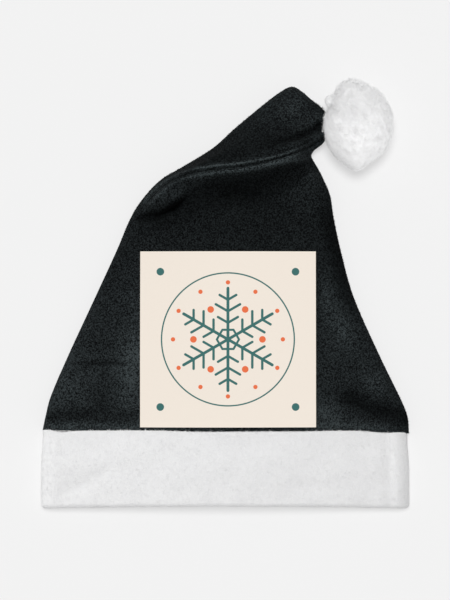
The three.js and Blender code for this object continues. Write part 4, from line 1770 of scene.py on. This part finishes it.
@dataclass
class PomPom:
    """The pom-pom: a lumpy core with loose tufts, and a small clump that hangs over the fleece's tip.

    Attributes:
        centre: Its middle seen from above, in millimetres.
        height: The height of the tufts' tips.
        foot: How far the core's round shape would reach under the floor, where it is pressed flat.
        floor_gap: How far the core stays above the floor.
        fullness: The power that makes its side fuller than a ball's, where it is below 1.
        core_inset: How far the core lies inside the tufts' tips.
        lump_height: How high its large lumps are.
        wave_height: How high its small waves are.
        dent: The turn, the width in degrees and the depth of the dent under the small clump.
        rings: How many bands the core's net has.
        sides: How many corners round it has.
        clump_size: Half the clump's size each way.
        clump_middle: The clump's middle.
        clump_rings: How many bands its net has.
        clump_sides: How many corners round it has.
    """

    centre: tuple[float, float] = (105.2, 133.0)
    height: float = 57.0
    foot: float = 0.8
    floor_gap: float = 1.0
    fullness: float = 0.74
    core_inset: float = 1.6
    lump_height: float = 0.4
    wave_height: float = 0.35
    dent: tuple[float, float, float] = (146.0, 16.0, 3.2)
    rings: int = 90
    sides: int = 150
    clump_size: tuple[float, float, float] = (7.2, 5.4, 5.4)
    clump_middle: tuple[float, float, float] = (85.4, 150.2, 35.0)
    clump_rings: int = 16
    clump_sides: int = 28

    def __post_init__(self) -> None:
        """Lays out the outline seen from above, as radii round the middle."""
        rows = (
            (0, 27.2), (26, 27.4), (46, 29.6), (74, 31.4), (95, 35.6), (112, 36.6), (126, 33.4), (141, 34.0),
            (160, 30), (185, 30), (222, 32), (247, 34.6), (267, 38.4), (280, 34.6), (295, 31.6), (317, 29.6),
            (338, 28.4), (360, 27.2),
        )  # fmt: skip
        self.outline = np.array(rows, float)

    def core(self) -> tuple[Array, Array]:
        """Shapes the ground that the tufts stand on.

        Returns:
            Its corners in millimetres and its triangles.
        """
        tilt, turn = ball_turns(self.rings, self.sides)
        dent_turn, dent_width, dent_depth = self.dent
        lump = np.sin(5 * turn + 2.1 * tilt) * np.sin(4 * tilt + 1.3) * np.cos(tilt)
        radius = through(self.outline[:, 0], self.outline[:, 1], np.degrees(turn) % 360) - self.core_inset
        radius = radius - dent_depth * bell(np.degrees(turn) - dent_turn, dent_width)
        flat = radius * np.cos(tilt) ** self.fullness + self.lump_height * lump
        tall = (self.height - self.core_inset + 2 * self.foot) * (0.5 + 0.5 * np.sin(tilt)) - 2 * self.foot
        points = np.column_stack([flat * np.cos(turn), flat * np.sin(turn), np.maximum(tall, self.floor_gap)])
        points = np.concatenate([points, [[0, 0, self.floor_gap], [0, 0, tall.max()]]])
        faces = ball_faces(self.rings, self.sides)
        out = vertex_normals(points, faces)
        free = smooth(0.5, 6, points[:, 2]) * (0.2 + 0.8 * smooth(-4, 20, points[:, 1] - 0.4 * points[:, 0]))
        waves = self.wave_height * ripple(points, 14, 3) + self.wave_height * ripple(points, 6, 4)
        return points + out * (waves * free)[:, None] + np.array([*self.centre, 0]), faces

    def build(self, pile: bpy.types.Material, fibre: bpy.types.Material) -> None:
        """Makes the core, its tufts and the small clump.

        Args:
            pile: The core's finish.
            fibre: The fibres' finish.
        """
        points, faces = self.core()
        core = set_piece(make_piece("pom_core", points, faces, pile), Slot.PILE, Node.POM)
        below = smooth(8, 2, points[:, 2])
        over = smooth(-18, 14, points[:, 1] - self.centre[1])
        tuft = Tuft(fibres=9, length=3.3, width=0.15, lean=(54, 84), curl=20, foot=0.8)
        coat = Pile("pom_pile", tuft, density=0.5, scale=(0.7, 1.15), lean=8, seed=31, finish=fibre)
        fields = {"crowd": 1 - 0.5 * below, "reach": (0.85 + 0.45 * over) * (1 - 0.4 * below)}
        set_piece(coat.grow(points, faces, **fields), Slot.PILE)
        self._clump(pile, fibre)

    def _clump(self, pile: bpy.types.Material, fibre: bpy.types.Material) -> None:
        """Makes the small clump at the pom-pom's upper left.

        Args:
            Reads the painted light and shade in the nap's colour from the piece's own field.
            fibre: The fibres' finish.
        """
        tilt, turn = ball_turns(self.clump_rings, self.clump_sides)
        points = np.column_stack([np.cos(turn) * np.cos(tilt), np.sin(turn) * np.cos(tilt), np.sin(tilt)])
        points = np.concatenate([points, [[0, 0, -1.0], [0, 0, 1.0]]]) * self.clump_size + self.clump_middle
        faces = ball_faces(self.clump_rings, self.clump_sides)
        set_piece(make_piece("clump_core", points, faces, pile), Slot.PILE)
        tuft = Tuft(fibres=8, length=2.4, width=0.2, lean=(45, 80), curl=25, foot=0.6)
        coat = Pile("pom_clump", tuft, density=0.8, scale=(0.7, 1.1), lean=10, seed=41, finish=fibre)
        whole = np.ones(len(points))
        set_piece(coat.grow(points, faces, crowd=whole, reach=whole), Slot.PILE)


@dataclass
class PrintFilm:
    """The thin square film on the front, which follows the crown's top. All in millimetres.

    Attributes:
        size: The square's side.
        middle: Its middle seen from above.
        thickness: How thick it is.
        steps: How many squares its net has along each side.
        sharp_angle: The angle in degrees past which an edge is shaded sharp.
    """

    size: float = 137.9
    middle: tuple[float, float] = (2.3, -35.8)
    thickness: float = 0.4
    steps: int = 90
    sharp_angle: float = 40.0

    def build(self, crown: Crown, finish: bpy.types.Material) -> None:
        """Makes the film.

        Args:
            crown: What it lies on.
            finish: Its material.
        """
        count = self.steps + 1
        share = np.linspace(-0.5, 0.5, count) * self.size
        x, y = (a.ravel() for a in np.meshgrid(self.middle[0] + share, self.middle[1] + share))
        spots = np.column_stack([x, y])
        low = crown.top_height(spots) + GAP
        points = np.concatenate([np.column_stack([spots, low]), np.column_stack([spots, low + self.thickness])])
        i, j = (a.ravel() for a in np.meshgrid(np.arange(self.steps), np.arange(self.steps)))
        a = j * count + i
        b, c, d = a + 1, a + count + 1, a + count
        under = np.stack([a, d, c, b], 1)
        over = np.stack([a, b, c, d], 1) + count * count
        line = np.arange(self.steps)
        rim = np.concatenate(
            [
                np.stack([line, line + 1], 1),
                np.stack([line * count + self.steps, (line + 1) * count + self.steps], 1),
                np.stack([self.steps * count + line + 1, self.steps * count + line], 1),
                np.stack([(line + 1) * count, line * count], 1),
            ]
        )
        sides = np.stack([rim[:, 0], rim[:, 1], rim[:, 1] + count * count, rim[:, 0] + count * count], 1)
        film = make_piece("print_film", points, np.concatenate([under, over, sides]), finish)
        film.data.set_sharp_from_angle(angle=math.radians(self.sharp_angle))
        set_piece(film, Slot.FILM, Node.PRINT)


@dataclass(frozen=True)
class Sun:
    """One far soft light.

    Attributes:
        name: What it does.
        level: The brightness that it gives a white surface that faces up.
        height: How high it stands, in degrees.
        turn: How far it stands to the left of the view's top, in degrees.
        spread: How wide it is seen, in degrees.
        slots: The finishes that it lights, or none for the floor alone.
    """

    name: str
    level: float
    height: float
    turn: float
    spread: float
    slots: tuple[Slot, ...]

    def build(self, scene: bpy.types.Scene, floor: bpy.types.Object) -> None:
        """Makes the light and flags it off what it doesn't light.

        Args:
            scene: Where it goes.
            floor: The floor, which a light without finishes lights.
        """
        data = bpy.data.lights.new(self.name, "SUN")
        up, turn = math.radians(self.height), math.radians(self.turn)
        data.energy, data.angle = self.level * math.pi / math.sin(up), math.radians(self.spread)
        light = bpy.data.objects.new(self.name, data)
        back = Vector((-math.sin(turn) * math.cos(up), math.cos(turn) * math.cos(up), math.sin(up)))
        light.rotation_mode = "QUATERNION"
        light.rotation_quaternion = (-back).to_track_quat("-Z", "Y")
        scene.collection.objects.link(light)
        wanted = [slot.value for slot in self.slots]
        lit = bpy.data.collections.new(f"{self.name} lights")
        for piece in [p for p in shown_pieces() if p.get("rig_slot") in wanted] if wanted else [floor]:
            lit.objects.link(piece)
        light.light_linking.receiver_collection = lit


@dataclass
class Studio:
    """The pale floor, the soft light and the camera that looks straight down.

    Attributes:
        lens: The camera's lens in millimetres.
        sensor: Its sensor's height in millimetres.
        view_height: How many millimetres the picture is high at the focus height.
        view_middle: Where the camera looks, in millimetres.
        focus_height: The height over the table at which the view has that size, in millimetres.
        floor_reach: Half the floor's width, in millimetres.
        floor_tone: How pale the floor is.
        floor_glow: How much it glows, so that it stays white round the hat.
        sky: The strength of the even light.
        suns: The soft lights.
    """

    lens: float = 200.0
    sensor: float = 36.0
    view_height: float = 473.2
    view_middle: tuple[float, float] = (-0.1, -5.0)
    focus_height: float = 8.0
    floor_reach: float = 2500.0
    floor_tone: float = 0.3
    floor_glow: float = 0.523
    sky: float = 0.32
    suns: tuple = (
        Sun("light on the fleece", 0.78, 50.0, 38.0, 30.0, (Slot.FLEECE,)),
        Sun("light on the plush", 0.64, 64.0, 46.0, 125.0, (Slot.PLUSH,)),
        Sun("light on the print", 0.69, 84.0, 0.0, 110.0, (Slot.FILM,)),
        Sun("light on the pom-pom", 0.44, 80.0, 14.0, 160.0, (Slot.PILE,)),
        Sun("low light from the left", 0.13, 36.0, 148.0, 40.0, (Slot.PILE,)),
        Sun("low light from the right", 0.07, 26.0, 265.0, 90.0, (Slot.PILE,)),
        Sun("low light from above", 0.12, 36.0, 350.0, 120.0, (Slot.PILE,)),
        Sun("light on the table", 0.9, 80.5, 8.0, 17.0, ()),
    )

    def build(self) -> None:
        """Makes everything that isn't part of the hat."""
        scene = bpy.context.scene
        scene.view_settings.view_transform = "Standard"
        scene.view_settings.look = "None"
        floor = self._floor()
        self._sky(scene)
        for sun in self.suns:
            sun.build(scene, floor)
        self._camera(scene)

    def _floor(self) -> bpy.types.Object:
        """Makes the floor with a matt pale finish.

        Returns:
            The floor's object.
        """
        reach = self.floor_reach
        corners = np.array([(-reach, -reach, 0), (reach, -reach, 0), (reach, reach, 0), (-reach, reach, 0)])
        finish = Cloth("lit white table", sheen=0.0)
        material, bench, where = finish.start()
        grain = bench.noise(where, 60, 1, 0.5)
        tone = self.floor_tone
        colour = bench.mix(grain * 0.3, (tone, tone, tone, 1), (tone * 0.99, tone * 0.99, tone * 0.99, 1))
        shader = finish.close(bench, colour, 0.95)
        shader.inputs["Emission Color"].default_value = (1, 1, 1, 1)
        shader.inputs["Emission Strength"].default_value = self.floor_glow
        floor = make_piece("floor", corners, [(0, 1, 2, 3)], material)
        floor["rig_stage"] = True
        return floor

    def _sky(self, scene: bpy.types.Scene) -> None:
        """Sets the sky's even light.

        Args:
            scene: The scene that it lights.
        """
        world = bpy.data.worlds.new("soft sky")
        world.use_nodes = True
        bench = Bench(world.node_tree)
        sky = bench.node("ShaderNodeBackground", {}, {"Color": (1, 1, 1, 1), "Strength": self.sky})
        bench.node("ShaderNodeOutputWorld", {}, {"Surface": sky.outputs[0]})
        scene.world = world

    def _camera(self, scene: bpy.types.Scene) -> None:
        """Sets the long-lens camera over the hat.

        Args:
            scene: The scene that it shows.
        """
        data = bpy.data.cameras.new("camera")
        data.lens, data.sensor_width, data.sensor_fit = self.lens, self.sensor, "AUTO"
        camera = bpy.data.objects.new("camera", data)
        away = self.lens / self.sensor * self.view_height + self.focus_height
        camera.location = Vector((*self.view_middle, away)) * MM
        data.clip_start, data.clip_end = 0.1, 20.0
        scene.collection.objects.link(camera)
        scene.camera = camera


def main() -> None:
    """Builds the hat and its surroundings."""
    logging.basicConfig(level=logging.INFO, format="%(message)s")
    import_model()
    crown = Crown()
    fleece = FleeceFinish("black fleece", sheen=0.01, gloss=0.03).make()
    nap = FleeceFinish("fleece nap", sheen=0.005, gloss=0.03).make_nap()
    crown.build(fleece, nap)
    plush = PlushFinish("white plush").make()
    white = FibreFinish("white fibre").make()
    Cuff().build(plush, white)
    fluff = PlushFinish("white fluff", sheen=0.0, hollow=(0.9, 0.9, 0.905, 1), tip=(0.94, 0.94, 0.94, 1)).make()
    wisps = FibreFinish("white wisps", deep=(0.93, 0.93, 0.935, 1), light=(0.96, 0.96, 0.96, 1)).make()
    PomPom().build(fluff, wisps)
    PrintFilm().build(crown, FilmFinish("print film", sheen=0.05).make())
    Studio().build()


if __name__ == "__main__":
    main()
